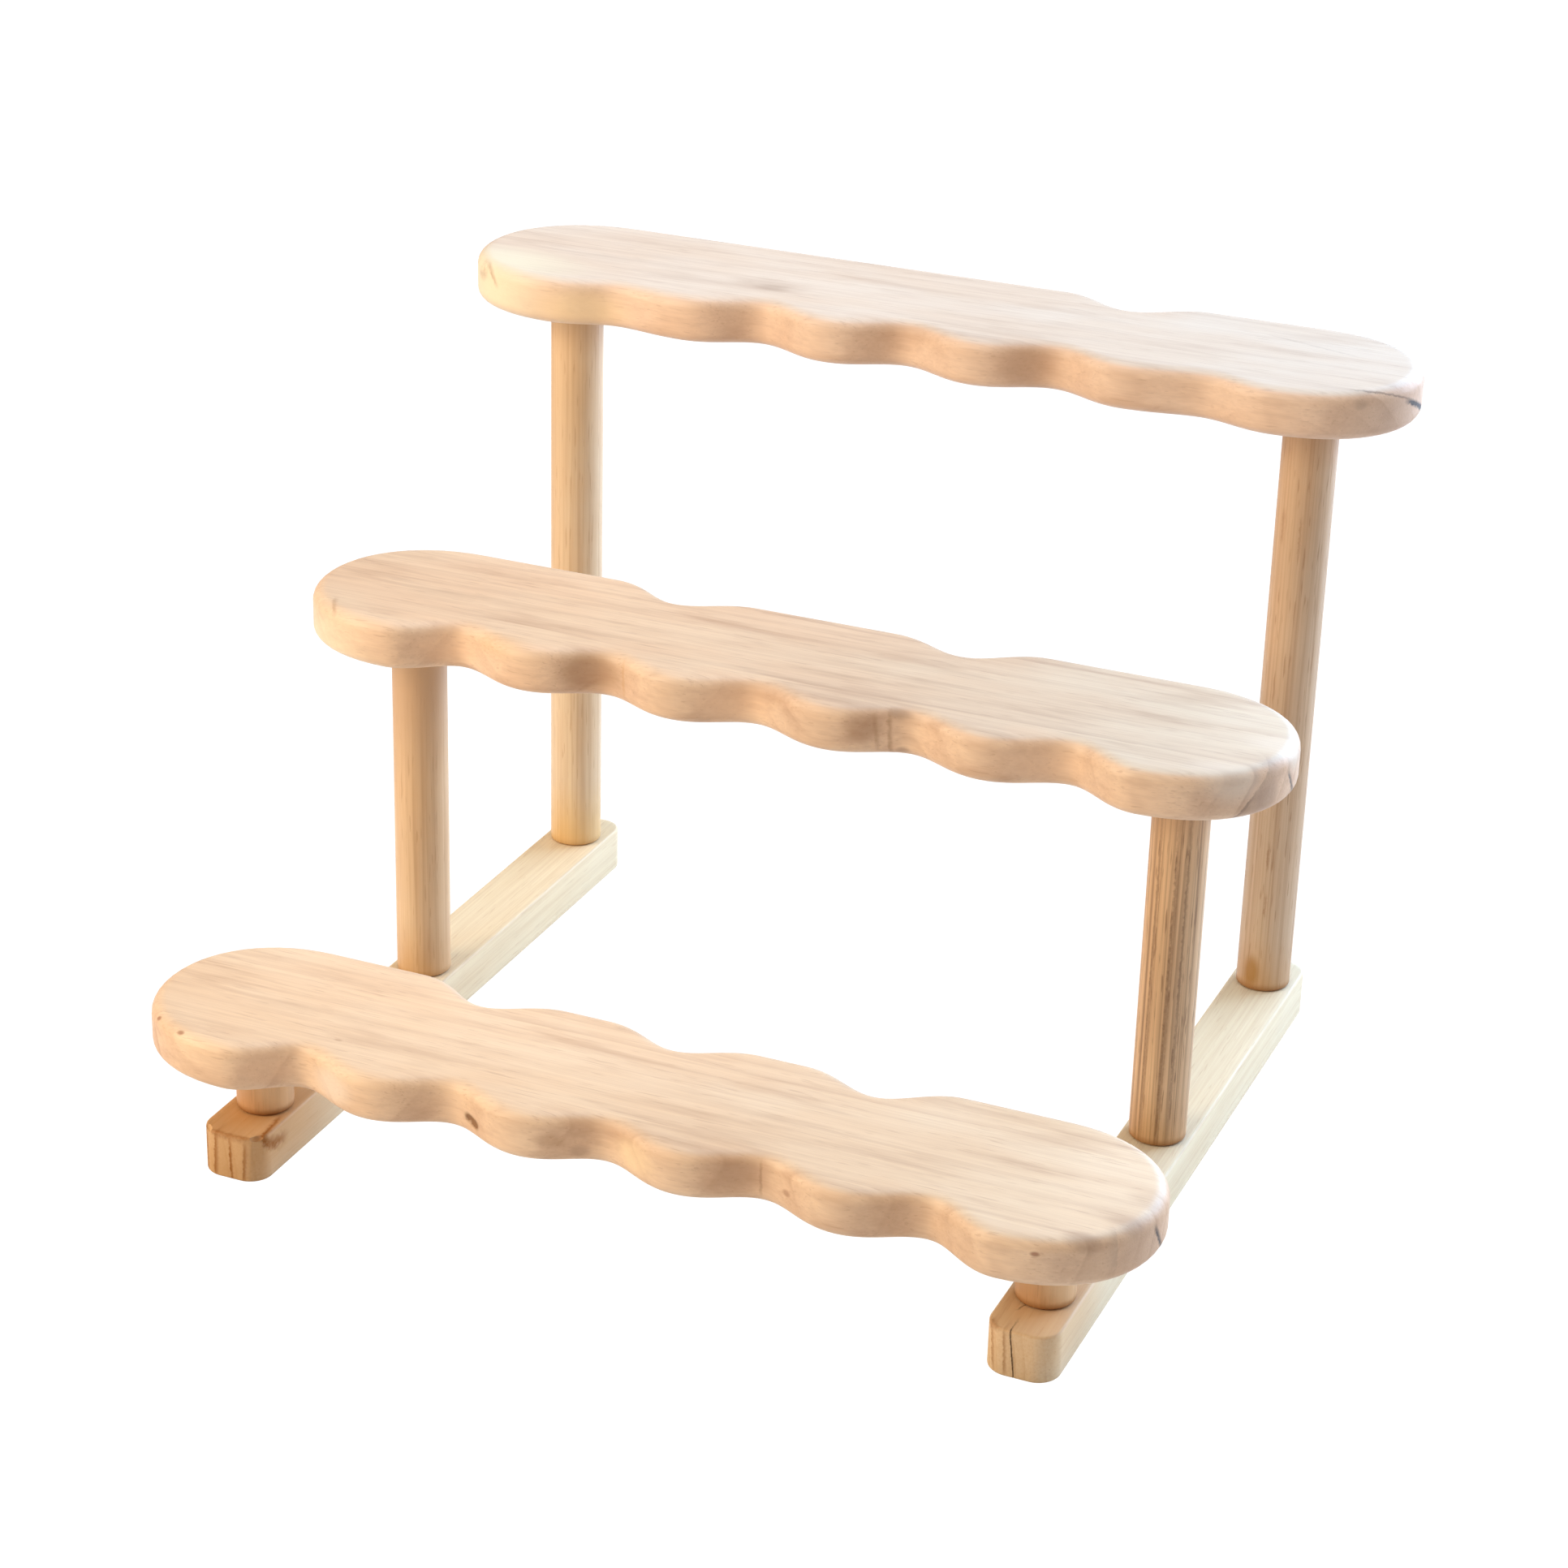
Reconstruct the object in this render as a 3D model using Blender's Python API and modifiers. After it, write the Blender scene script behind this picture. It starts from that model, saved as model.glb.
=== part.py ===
"""Three-step display stand in pale pine: scalloped boards on round posts and two floor rails.

Metres, +Z up. X runs along the boards, Y from the front step to the back step.
"""

import math

import bmesh
import bpy

# Boards
BOARD_LENGTH = 0.400
BOARD_THICKNESS = 0.019
BOARD_EDGE_ROUND = 0.004
END_REACH = 0.044
LOBE_REACH = 0.041
VALLEY_REACH = 0.0305
SHALLOW_REACH = 0.037
END_ROUND = 0.048

# Scalloped edges, each lobe measured along the board
FRONT_LOBES = 6
FRONT_END_LOBE = 0.076
SCALLOP_RUN = 0.031
WIDE_LOBE = 0.080
WIDEST_LOBE = 0.120
SINGLE_NOTCH = 0.073
CREST_HANDLE = 0.45
VALLEY_HANDLE = 0.30
END_HANDLE = 0.58

# Posts
POST_DIAMETER = 0.022
POST_INSET = 0.041
POST_CHAMFER = 0.0006
FRONT_POST_LENGTH = 0.028
MIDDLE_POST_LENGTH = 0.150
BACK_POST_LENGTH = 0.250

# Steps from one row of posts to the next
FRONT_STEP = 0.128
BACK_STEP = 0.142

# Rails
RAIL_WIDTH = 0.027
RAIL_HEIGHT = 0.019
RAIL_FRONT_OVERHANG = 0.028
RAIL_BACK_OVERHANG = 0.022
RAIL_CORNER = 0.009
RAIL_EDGE_ROUND = 0.0010
ARC_HANDLE = 0.5523

# Fasteners
DOWEL_SCREW_DIAMETER = 0.005
WOOD_SCREW_DIAMETER = 0.004
SCREW_HEAD_DIAMETER = 0.008
SCREW_HEAD_RIM = 0.0004
SCREW_HEAD_RECESS = 0.0006
SCREW_POINT = 0.004
CROSS_LENGTH = 0.0040
CROSS_WIDTH = 0.0009
CROSS_DEPTH = 0.0012
BOARD_COVER = 0.007
POST_WEB = 0.006

# Clearances, and the largest share of a width that a rounded edge may take
JOINT_GAP = 0.0003
SCREW_FIT = 0.0003
TIP_GAP = 0.0005
CUT_OVERRUN = 0.001
WELD = 0.00001
LARGEST_ROUND = 0.45

# Fineness of the round shapes
OUTLINE_STEPS = 6
BOARD_EDGE_STEPS = 2
RAIL_EDGE_STEPS = 1
POST_SIDES = 32
SCREW_SIDES = 16
FLAT_ANGLE = math.radians(0.1)
SMOOTH_ANGLE = math.radians(40)
CHAMFER_ANGLE = math.radians(60)

# Colour, roughness and metallic value of each finish
BOARD_FINISH = ((0.87, 0.67, 0.47), 0.55, 0.0)
POST_FINISH = ((0.72, 0.50, 0.30), 0.55, 0.0)
RAIL_FINISH = ((0.85, 0.70, 0.48), 0.60, 0.0)
STEEL_FINISH = ((0.62, 0.62, 0.60), 0.35, 1.0)

# Places worked out from the sizes above
HALF_LENGTH = BOARD_LENGTH / 2
POST_X = HALF_LENGTH - POST_INSET
POST_FOOT = RAIL_HEIGHT + JOINT_GAP
FRONT_ROW = -(FRONT_STEP + BACK_STEP) / 2
MIDDLE_ROW = FRONT_ROW + FRONT_STEP
BACK_ROW = MIDDLE_ROW + BACK_STEP
DOWEL_BORE = DOWEL_SCREW_DIAMETER + 2 * SCREW_FIT
WOOD_SCREW_BORE = WOOD_SCREW_DIAMETER + 2 * SCREW_FIT
POST_BITE = (FRONT_POST_LENGTH - POST_WEB) / 2
BOARD_BITE = BOARD_THICKNESS - BOARD_COVER
FRONT_PITCH = (BOARD_LENGTH - 2 * FRONT_END_LOBE) / (FRONT_LOBES - 2)

# Each step: its name, its row of posts, its post length, the valleys of its board's back edge and
# whether the outer valleys of its front edge are shallow
STEPS = (
    ("front", FRONT_ROW, FRONT_POST_LENGTH, (-WIDE_LOBE, 0.0, WIDE_LOBE), False),
    ("middle", MIDDLE_ROW, MIDDLE_POST_LENGTH, (-WIDEST_LOBE / 2, WIDEST_LOBE / 2), False),
    ("back", BACK_ROW, BACK_POST_LENGTH, (SINGLE_NOTCH,), True),
)
SIDES = (("left", -POST_X), ("right", POST_X))


def clear_scene():
    for obj in list(bpy.data.objects):
        bpy.data.objects.remove(obj, do_unlink=True)


def new_collection(name):
    collection = bpy.data.collections.new(name)
    bpy.context.scene.collection.children.link(collection)
    return collection


def finish(obj, look):
    """Give the piece its own material."""
    colour, roughness, metallic = look
    material = bpy.data.materials.new(obj.name)
    material.use_nodes = True
    shader = material.node_tree.nodes["Principled BSDF"]
    shader.inputs["Base Color"].default_value = (*colour, 1.0)
    shader.inputs["Roughness"].default_value = roughness
    shader.inputs["Metallic"].default_value = metallic
    obj.data.materials.append(material)


def shade(mesh):
    mesh.shade_smooth()
    mesh.set_sharp_from_angle(angle=SMOOTH_ANGLE)


def add_piece(name, mesh, place, look):
    obj = bpy.data.objects.new(name, mesh)
    pieces.objects.link(obj)
    obj.parent = stand
    obj.location = place
    shade(mesh)
    finish(obj, look)
    return obj


def add_cutter(name, mesh, place):
    obj = bpy.data.objects.new(name, mesh)
    cutters.objects.link(obj)
    obj.location = place
    obj.hide_render = True
    obj.display_type = "WIRE"
    return obj


def cut(target, cutter):
    boolean = target.modifiers.new(cutter.name, "BOOLEAN")
    boolean.operation = "DIFFERENCE"
    boolean.object = cutter


def cylinder_mesh(name, diameter, length, sides):
    """A closed cylinder on the Z axis that stands on z = 0."""
    mesh = bpy.data.meshes.new(name)
    shape = bmesh.new()
    bmesh.ops.create_cone(
        shape, cap_ends=True, segments=sides, radius1=diameter / 2, radius2=diameter / 2, depth=length
    )
    bmesh.ops.translate(shape, verts=shape.verts, vec=(0, 0, length / 2))
    shape.to_mesh(mesh)
    shape.free()
    return mesh


def profile_mesh(name, profile):
    """An open run of edges, radius against height, for a Screw modifier to turn."""
    mesh = bpy.data.meshes.new(name)
    shape = bmesh.new()
    verts = [shape.verts.new((radius, 0, height)) for radius, height in profile]
    for upper, lower in zip(verts, verts[1:]):
        shape.edges.new((upper, lower))
    shape.to_mesh(mesh)
    shape.free()
    return mesh


def turn(obj, sides):
    screw = obj.modifiers.new("turn", "SCREW")
    screw.steps = sides
    screw.render_steps = sides
    screw.use_merge_vertices = True
    screw.merge_threshold = WELD


def outline_mesh(name, points, thickness, edge_round, edge_steps):
    """A plate on z = 0 from a closed outline of (x, y, handle before, handle after) points."""
    edge_round = min(edge_round, LARGEST_ROUND * thickness)
    curve = bpy.data.curves.new(name, "CURVE")
    curve.dimensions = "2D"
    curve.fill_mode = "BOTH"
    curve.resolution_u = OUTLINE_STEPS
    curve.extrude = thickness / 2 - edge_round
    curve.bevel_depth = edge_round
    curve.bevel_resolution = edge_steps
    curve.offset = -edge_round
    spline = curve.splines.new("BEZIER")
    spline.bezier_points.add(len(points) - 1)
    spline.use_cyclic_u = True
    for knot, (x, y, before, after) in zip(spline.bezier_points, points):
        knot.handle_left_type = "FREE"
        knot.handle_right_type = "FREE"
        knot.co = (x, y, 0)
        knot.handle_left = (x + before[0], y + before[1], 0)
        knot.handle_right = (x + after[0], y + after[1], 0)
    guide = bpy.data.objects.new(name, curve)
    bpy.context.scene.collection.objects.link(guide)
    evaluated = guide.evaluated_get(bpy.context.evaluated_depsgraph_get())
    mesh = bpy.data.meshes.new_from_object(evaluated)
    bpy.data.objects.remove(guide, do_unlink=True)
    shape = bmesh.new()
    shape.from_mesh(mesh)
    bmesh.ops.remove_doubles(shape, verts=shape.verts, dist=WELD)
    bmesh.ops.dissolve_limit(shape, angle_limit=FLAT_ANGLE, verts=shape.verts, edges=shape.edges)
    bmesh.ops.recalc_face_normals(shape, faces=shape.faces)
    bmesh.ops.translate(shape, verts=shape.verts, vec=(0, 0, thickness / 2))
    shape.to_mesh(mesh)
    shape.free()
    return mesh


def edge_stations(valleys, shallow):
    """Crests and valleys of one long edge from left to right, as (x, reach, handle share)."""
    shoulder = HALF_LENGTH - END_ROUND
    stations = [(-shoulder, END_REACH, CREST_HANDLE)]
    stops = [-shoulder - SCALLOP_RUN, *valleys, shoulder + SCALLOP_RUN]
    for before, valley, after in zip(stops, stops[1:], stops[2:]):
        left = max(valley - SCALLOP_RUN, (before + valley) / 2)
        right = min(valley + SCALLOP_RUN, (valley + after) / 2)
        left_reach = END_REACH if valley == valleys[0] else LOBE_REACH
        right_reach = END_REACH if valley == valleys[-1] else LOBE_REACH
        outer = valley in (valleys[0], valleys[-1])
        stations.append((left, left_reach, CREST_HANDLE))
        stations.append((valley, SHALLOW_REACH if shallow and outer else VALLEY_REACH, VALLEY_HANDLE))
        stations.append((right, right_reach, CREST_HANDLE))
    stations.append((shoulder, END_REACH, CREST_HANDLE))
    return merge_close(stations)


def merge_close(stations):
    """Keep one station where two crests lie closer than the edge's round."""
    kept = stations[:1]
    for station in stations[1:]:
        if station[0] - kept[-1][0] > BOARD_EDGE_ROUND:
            kept.append(station)
    return kept


def edge_points(valleys, side, shallow=False):
    """Curve points of one long edge from left to right; side is -1 at the front, +1 at the back."""
    stations = edge_stations(valleys, shallow)
    points = []
    for index, (x, reach, share) in enumerate(stations):
        if index:
            before = (-share * (x - stations[index - 1][0]), 0)
        else:
            before = (-END_HANDLE * END_ROUND, 0)
        if index < len(stations) - 1:
            after = (share * (stations[index + 1][0] - x), 0)
        else:
            after = (END_HANDLE * END_ROUND, 0)
        points.append((x, side * reach, before, after))
    return points


def board_outline(back_valleys, shallow):
    """Front edge to the right, right tip, back edge to the left, left tip."""
    middle_valley = (FRONT_LOBES - 2) / 2
    front_valleys = [(index - middle_valley) * FRONT_PITCH for index in range(FRONT_LOBES - 1)]
    tip = END_HANDLE * END_REACH
    front = edge_points(front_valleys, -1, shallow)
    back = edge_points(back_valleys, 1)
    right_tip = (HALF_LENGTH, 0, (0, -tip), (0, tip))
    left_tip = (-HALF_LENGTH, 0, (0, tip), (0, -tip))
    back_to_left = [(x, y, after, before) for x, y, before, after in reversed(back)]
    return [*front, right_tip, *back_to_left, left_tip]


def add_board(step, row, underside, back_valleys, shallow):
    outline = board_outline(back_valleys, shallow)
    mesh = outline_mesh(f"shelf_{step}", outline, BOARD_THICKNESS, BOARD_EDGE_ROUND, BOARD_EDGE_STEPS)
    board = add_piece(f"shelf_{step}", mesh, (0, row, underside), BOARD_FINISH)
    for side, x in SIDES:
        pilot = cylinder_mesh("board pilot", DOWEL_BORE, BOARD_BITE + CUT_OVERRUN, SCREW_SIDES)
        cut(board, add_cutter(f"board_pilot_{step}_{side}", pilot, (x, row, underside - CUT_OVERRUN)))


def add_post(step, side, x, row, length):
    mesh = cylinder_mesh(f"post_{step}_{side}", POST_DIAMETER, length, POST_SIDES)
    post = add_piece(f"post_{step}_{side}", mesh, (x, row, POST_FOOT), POST_FINISH)
    bevel = post.modifiers.new("eased ends", "BEVEL")
    bevel.width = POST_CHAMFER
    bevel.segments = 1
    bevel.limit_method = "ANGLE"
    bevel.angle_limit = CHAMFER_ANGLE
    depth = POST_BITE + TIP_GAP + CUT_OVERRUN
    upper = cylinder_mesh("upper pilot", DOWEL_BORE, depth, SCREW_SIDES)
    lower = cylinder_mesh("lower pilot", WOOD_SCREW_BORE, depth, SCREW_SIDES)
    upper_start = POST_FOOT + length + CUT_OVERRUN - depth
    cut(post, add_cutter(f"upper_pilot_{step}_{side}", upper, (x, row, upper_start)))
    cut(post, add_cutter(f"lower_pilot_{step}_{side}", lower, (x, row, POST_FOOT - CUT_OVERRUN)))


def rail_outline():
    """A long rectangle with round corners, drawn anticlockwise from its front left corner."""
    half = RAIL_WIDTH / 2
    corner = min(RAIL_CORNER, LARGEST_ROUND * RAIL_WIDTH)
    front = FRONT_ROW - RAIL_FRONT_OVERHANG
    back = BACK_ROW + RAIL_BACK_OVERHANG
    arc = ARC_HANDLE * corner
    across = 2 * (half - corner) / 3
    along = (back - front - 2 * corner) / 3
    return [
        (-half + corner, front, (-arc, 0), (across, 0)),
        (half - corner, front, (-across, 0), (arc, 0)),
        (half, front + corner, (0, -arc), (0, along)),
        (half, back - corner, (0, -along), (0, arc)),
        (half - corner, back, (arc, 0), (-across, 0)),
        (-half + corner, back, (across, 0), (-arc, 0)),
        (-half, back - corner, (0, arc), (0, -along)),
        (-half, front + corner, (0, along), (0, -arc)),
    ]


def countersink_profile():
    """Screw hole through a rail, from above its top face to below its underside."""
    shank = WOOD_SCREW_BORE / 2
    head = SCREW_HEAD_DIAMETER / 2 + SCREW_FIT
    shoulder = SCREW_HEAD_RECESS + SCREW_HEAD_RIM
    neck = shoulder + head - shank
    return [
        (0, RAIL_HEIGHT + CUT_OVERRUN),
        (shank, RAIL_HEIGHT + CUT_OVERRUN),
        (shank, neck),
        (head, shoulder),
        (head, -CUT_OVERRUN),
        (0, -CUT_OVERRUN),
    ]


def add_rail(side, x):
    mesh = outline_mesh(f"rail_{side}", rail_outline(), RAIL_HEIGHT, RAIL_EDGE_ROUND, RAIL_EDGE_STEPS)
    rail = add_piece(f"rail_{side}", mesh, (x, 0, 0), RAIL_FINISH)
    for step, row, *_ in STEPS:
        profile = profile_mesh("countersunk hole", countersink_profile())
        hole = add_cutter(f"countersink_{step}_{side}", profile, (x, row, 0))
        turn(hole, SCREW_SIDES)
        cut(rail, hole)


def add_dowel_screw(step, side, x, row, underside):
    """Pointed at both ends, half in the post's end grain and half in the board."""
    radius = DOWEL_SCREW_DIAMETER / 2
    top = BOARD_BITE - TIP_GAP
    bottom = -JOINT_GAP - POST_BITE
    profile = [(0, top), (radius, top - SCREW_POINT), (radius, bottom + SCREW_POINT), (0, bottom)]
    name = f"dowel_screw_{step}_{side}"
    turn(add_piece(name, profile_mesh(name, profile), (x, row, underside), STEEL_FINISH), SCREW_SIDES)


def cross_mesh():
    """Two crossed bars for the driver's recess, joined into one body."""
    mesh = bpy.data.meshes.new("cross")
    shape = bmesh.new()
    depth = CROSS_DEPTH + CUT_OVERRUN
    half = CROSS_WIDTH / 2
    arm = CROSS_LENGTH / 2
    core = bmesh.ops.create_cube(shape, size=1.0)["verts"]
    bmesh.ops.scale(shape, verts=core, vec=(2 * half, 2 * half, depth))
    bmesh.ops.translate(shape, verts=core, vec=(0, 0, depth / 2 - CUT_OVERRUN))
    flanks = [face for face in shape.faces if abs(face.normal.z) < 0.5]
    bars = bmesh.ops.extrude_discrete_faces(shape, faces=flanks)["faces"]
    for face in bars:
        bmesh.ops.translate(shape, verts=face.verts, vec=face.normal * (arm - half))
    shape.to_mesh(mesh)
    shape.free()
    return mesh


def add_wood_screw(step, side, x, row):
    """Countersunk head in the rail's underside, point in the post's end grain."""
    shank = WOOD_SCREW_DIAMETER / 2
    head = SCREW_HEAD_DIAMETER / 2
    tip = POST_FOOT + POST_BITE
    rim = SCREW_HEAD_RECESS + SCREW_HEAD_RIM
    profile = [
        (0, tip),
        (shank, tip - SCREW_POINT),
        (shank, rim + head - shank),
        (head, rim),
        (head, SCREW_HEAD_RECESS),
        (0, SCREW_HEAD_RECESS),
    ]
    name = f"wood_screw_{step}_{side}"
    screw = add_piece(name, profile_mesh(name, profile), (x, row, 0), STEEL_FINISH)
    turn(screw, SCREW_SIDES)
    cut(screw, add_cutter(f"cross_{step}_{side}", cross_mesh(), (x, row, SCREW_HEAD_RECESS)))


clear_scene()
pieces = new_collection("scalloped_display_stand")
cutters = new_collection("cutters")
stand = bpy.data.objects.new("display_stand", None)
pieces.objects.link(stand)

for side, x in SIDES:
    add_rail(side, x)
for step, row, post_length, back_valleys, shallow in STEPS:
    underside = POST_FOOT + post_length + JOINT_GAP
    add_board(step, row, underside, back_valleys, shallow)
    for side, x in SIDES:
        add_post(step, side, x, row, post_length)
        add_dowel_screw(step, side, x, row, underside)
        add_wood_screw(step, side, x, row)
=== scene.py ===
# %% [markdown]
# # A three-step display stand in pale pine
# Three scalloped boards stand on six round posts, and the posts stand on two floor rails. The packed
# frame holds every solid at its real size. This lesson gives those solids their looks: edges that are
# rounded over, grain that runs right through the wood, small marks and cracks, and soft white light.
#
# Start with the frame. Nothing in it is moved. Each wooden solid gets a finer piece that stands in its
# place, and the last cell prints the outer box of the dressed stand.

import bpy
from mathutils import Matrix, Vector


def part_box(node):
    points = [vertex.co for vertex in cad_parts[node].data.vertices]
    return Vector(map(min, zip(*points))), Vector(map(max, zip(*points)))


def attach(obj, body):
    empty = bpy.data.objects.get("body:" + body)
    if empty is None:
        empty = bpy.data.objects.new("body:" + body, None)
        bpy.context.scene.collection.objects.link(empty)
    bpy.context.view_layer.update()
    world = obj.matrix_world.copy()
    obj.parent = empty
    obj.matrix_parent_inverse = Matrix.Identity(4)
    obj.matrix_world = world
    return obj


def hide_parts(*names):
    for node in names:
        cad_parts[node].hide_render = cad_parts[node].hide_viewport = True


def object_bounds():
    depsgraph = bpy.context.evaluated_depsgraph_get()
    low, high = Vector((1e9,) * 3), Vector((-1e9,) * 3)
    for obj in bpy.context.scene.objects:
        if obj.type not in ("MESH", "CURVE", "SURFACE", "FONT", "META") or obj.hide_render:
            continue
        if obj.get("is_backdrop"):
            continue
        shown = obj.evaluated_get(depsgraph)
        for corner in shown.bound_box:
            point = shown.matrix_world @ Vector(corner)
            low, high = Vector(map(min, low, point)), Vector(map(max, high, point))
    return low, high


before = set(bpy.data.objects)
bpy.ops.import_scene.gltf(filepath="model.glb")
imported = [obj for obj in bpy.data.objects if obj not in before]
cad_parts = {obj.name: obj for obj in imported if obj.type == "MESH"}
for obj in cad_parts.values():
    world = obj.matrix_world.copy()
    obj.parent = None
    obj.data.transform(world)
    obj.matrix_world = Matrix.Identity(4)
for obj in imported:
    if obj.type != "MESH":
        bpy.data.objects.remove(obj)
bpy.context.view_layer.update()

# %% [markdown]
# ## The camera
# The stand was photographed from its front right, from above, with a longish lens that keeps the posts
# nearly upright. A camera can be aimed with a Track To constraint, but a constraint has no roll, so the
# three turns are multiplied here: first the roll, then the tilt down, then the turn to the left.

# %% Place the camera
import math

import bpy
from mathutils import Matrix

LENS = 84.7
CAMERA_PLACE = (0.4982, -1.2065, 0.719)
TURN_LEFT = math.radians(22.56)
TILT_DOWN = math.radians(24.25)
ROLL = math.radians(1.64)

camera = bpy.data.objects.new("camera", bpy.data.cameras.new("camera"))
camera.data.lens = LENS
camera.matrix_world = (
    Matrix.Translation(CAMERA_PLACE)
    @ Matrix.Rotation(TURN_LEFT, 4, "Z")
    @ Matrix.Rotation(math.pi / 2 - TILT_DOWN, 4, "X")
    @ Matrix.Rotation(ROLL, 4, "Z")
)
bpy.context.scene.collection.objects.link(camera)
bpy.context.scene.camera = camera
print("camera:", LENS, "mm lens,", round(camera.location.length, 2), "m from the origin")

# %% [markdown]
# ## Sums on sockets
# A wood shader is mostly arithmetic: how far is this point from the heart of the tree, which ring is it
# in, how near is it to a knot? Adding a Math node for each plus sign by hand hides the idea, so this
# small class wraps one socket and lets Python's own operators add the nodes. A Math node turns a colour
# grey, so colours and vectors use `node`, which makes any node from its type, settings and sockets.

# %% Wrap a socket
OPAQUE = 1.0


class Grain:
    """One output socket of a node tree. Operators on it add Math nodes."""

    def __init__(self, tree, socket=None):
        self.tree = tree
        self.socket = socket

    def node(self, kind, settings=None, sockets=None, output=0):
        """Any node: its settings come first, then the values or links of its sockets."""
        made = self.tree.nodes.new("ShaderNode" + kind)
        for name, value in (settings or {}).items():
            setattr(made, name, value)
        for name, value in (sockets or {}).items():
            socket = made.inputs[name]
            if isinstance(value, Grain):
                self.tree.links.new(value.socket, socket)
            else:
                socket.default_value = (*value, OPAQUE) if socket.type == "RGBA" else value
        return Grain(self.tree, made.outputs[output] if made.outputs else None)

    def math(self, operation, first, second=0.0):
        return self.node("Math", {"operation": operation}, {0: first, 1: second})

    def vector(self, operation, other=(0.0, 0.0, 0.0), output=0):
        return self.node("VectorMath", {"operation": operation}, {0: self, 1: other}, output)

    def part(self, axis):
        """One number of this vector: X, Y or Z."""
        return self.node("SeparateXYZ", {}, {0: self}, axis)

    def __add__(self, other):
        return self.math("ADD", self, other)

    def __sub__(self, other):
        return self.math("SUBTRACT", self, other)

    def __rsub__(self, other):
        return self.math("SUBTRACT", other, self)

    def __mul__(self, other):
        return self.math("MULTIPLY", self, other)

    def __truediv__(self, other):
        return self.math("DIVIDE", self, other)

    def __pow__(self, other):
        return self.math("POWER", self, other)

    __radd__ = __add__
    __rmul__ = __mul__

    def fade(self, low, high):
        """0 at low, 1 at high, and a smooth rise between them."""
        limits = {"Value": self, "From Min": low, "From Max": high}
        return self.node("MapRange", {"interpolation_type": "SMOOTHSTEP"}, limits)

    def tint(self, below, above):
        """This value fades the first colour into the second."""
        return self.node("Mix", {"data_type": "RGBA"}, {0: self, 6: below, 7: above}, output=2)


def blank_material(name):
    """A material with an empty node tree, and a wrapper to make its first nodes."""
    material = bpy.data.materials.new(name)
    material.use_nodes = True
    material.node_tree.nodes.clear()
    return material, Grain(material.node_tree)


print("a socket understands + - * / **")

# %% [markdown]
# ## Noise along the grain
# Fibres, resin canals, streaks and blotches are all soft specks, drawn out along the grain. An image of
# each would have an end and a seam. One noise makes them all, once its space is stretched. The distance
# to a spot is squeezed likewise, so a mark is an oval. The grain of the pattern runs along X.

# %% Stretch a noise
NOISE_ROUGHNESS = 0.6
NOISE_MIDDLE = 0.5


def drawn_out(place, along, across, detail):
    """Noise from 0 to 1, with so many waves to the metre along and across the grain."""
    stretched = place.vector("MULTIPLY", (along, across, across))
    wanted = {"Vector": stretched, "Scale": 1.0, "Detail": detail, "Roughness": NOISE_ROUGHNESS}
    return place.node("TexNoise", {"noise_dimensions": "3D"}, wanted)


def texture(place, along, across, detail, low, high):
    """The same noise, where all below low is 0 and all above high is 1."""
    return drawn_out(place, along, across, detail).fade(low, high)


def distance_to(place, spot, squeeze):
    """How far a point is from a spot, with the grain direction squeezed."""
    away = place.vector("SUBTRACT", spot)
    return away.vector("MULTIPLY", (squeeze, 1.0, 1.0)).vector("LENGTH", output="Value")


print("noise: roughness", NOISE_ROUGHNESS)

# %% [markdown]
# ## Pine through and through
# Real boards are sawn from a trunk, so one solid pattern explains every face: long streaks on the top,
# arcs on the ends, ovals where a lobe is cut across the rings. An image of planks could be projected on
# each face, but it would break at every rounded edge. The pattern is the distance to the heart of the
# tree, a line beside the piece. A ring starts pale and ends in a thin dark band, which is a sawtooth
# raised to a power. Slow noise lets the rings wander and each band fade and come back.

# %% Grow the rings
RING_SHARPNESS = 3.0
RING_END = 0.9
SWAY = (3.0, 9.0, 2.0)
RIPPLE = (9.0, 60.0, 2.0)
RIPPLE_SHARE = 1 / 6
BULGE_REACH = 2.4
BULGE_SQUEEZE = 0.45
YEAR_STEP = 0.61
YEAR_RANGE = (0.25, 0.7)
PATCHES = (7.0, 45.0, 1.0, 0.34, 0.62)
FAINTEST = 0.35


def ring_bands(place, look, knots):
    """The dark end of each year's growth, from 0 to 1. Rings bulge round each knot."""
    aside, above = look["heart"]
    sway = (drawn_out(place, *SWAY) - NOISE_MIDDLE) * look["wander"]
    ripple = (drawn_out(place, *RIPPLE) - NOISE_MIDDLE) * (look["wander"] * RIPPLE_SHARE)
    side = place.part("Y") - aside + sway
    height = place.part("Z") - above + ripple
    radius = (side * side + height * height) ** 0.5
    for knot in knots:
        bulge = 1.0 - distance_to(place, knot.spot, BULGE_SQUEEZE).fade(0.0, BULGE_REACH * knot.reach)
        radius = radius + bulge * bulge * knot.reach
    year = radius / look["ring"]
    saw = place.math("FRACT", year)
    band = saw ** RING_SHARPNESS * (1.0 - saw.fade(RING_END, 1.0))
    strength = place.node("TexNoise", {"noise_dimensions": "1D"}, {"W": year * YEAR_STEP, "Scale": 1.0})
    visible = FAINTEST + texture(place, *PATCHES) * (1.0 - FAINTEST)
    return band * strength.fade(*YEAR_RANGE) * visible


print("rings: dark up to", RING_END, "of a year")

# %% [markdown]
# ## Knots, stains and seams
# A handmade stand has its own small history: a knot, brown specks, a patch of sapwood, a crack. They
# could be painted on an image. Here each is a distance, in metres on the stand. A knot and a stain are
# ovals round a spot. A seam is a thin band round a plane, kept near one spot, so it draws a line on
# whichever face it crosses.

# %% Paint the small marks
from collections import namedtuple

Knot = namedtuple("Knot", "spot reach dark")
Stain = namedtuple("Stain", "spot reach strength hue")
Seam = namedtuple("Seam", "spot across reach before after strength hue")

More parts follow.
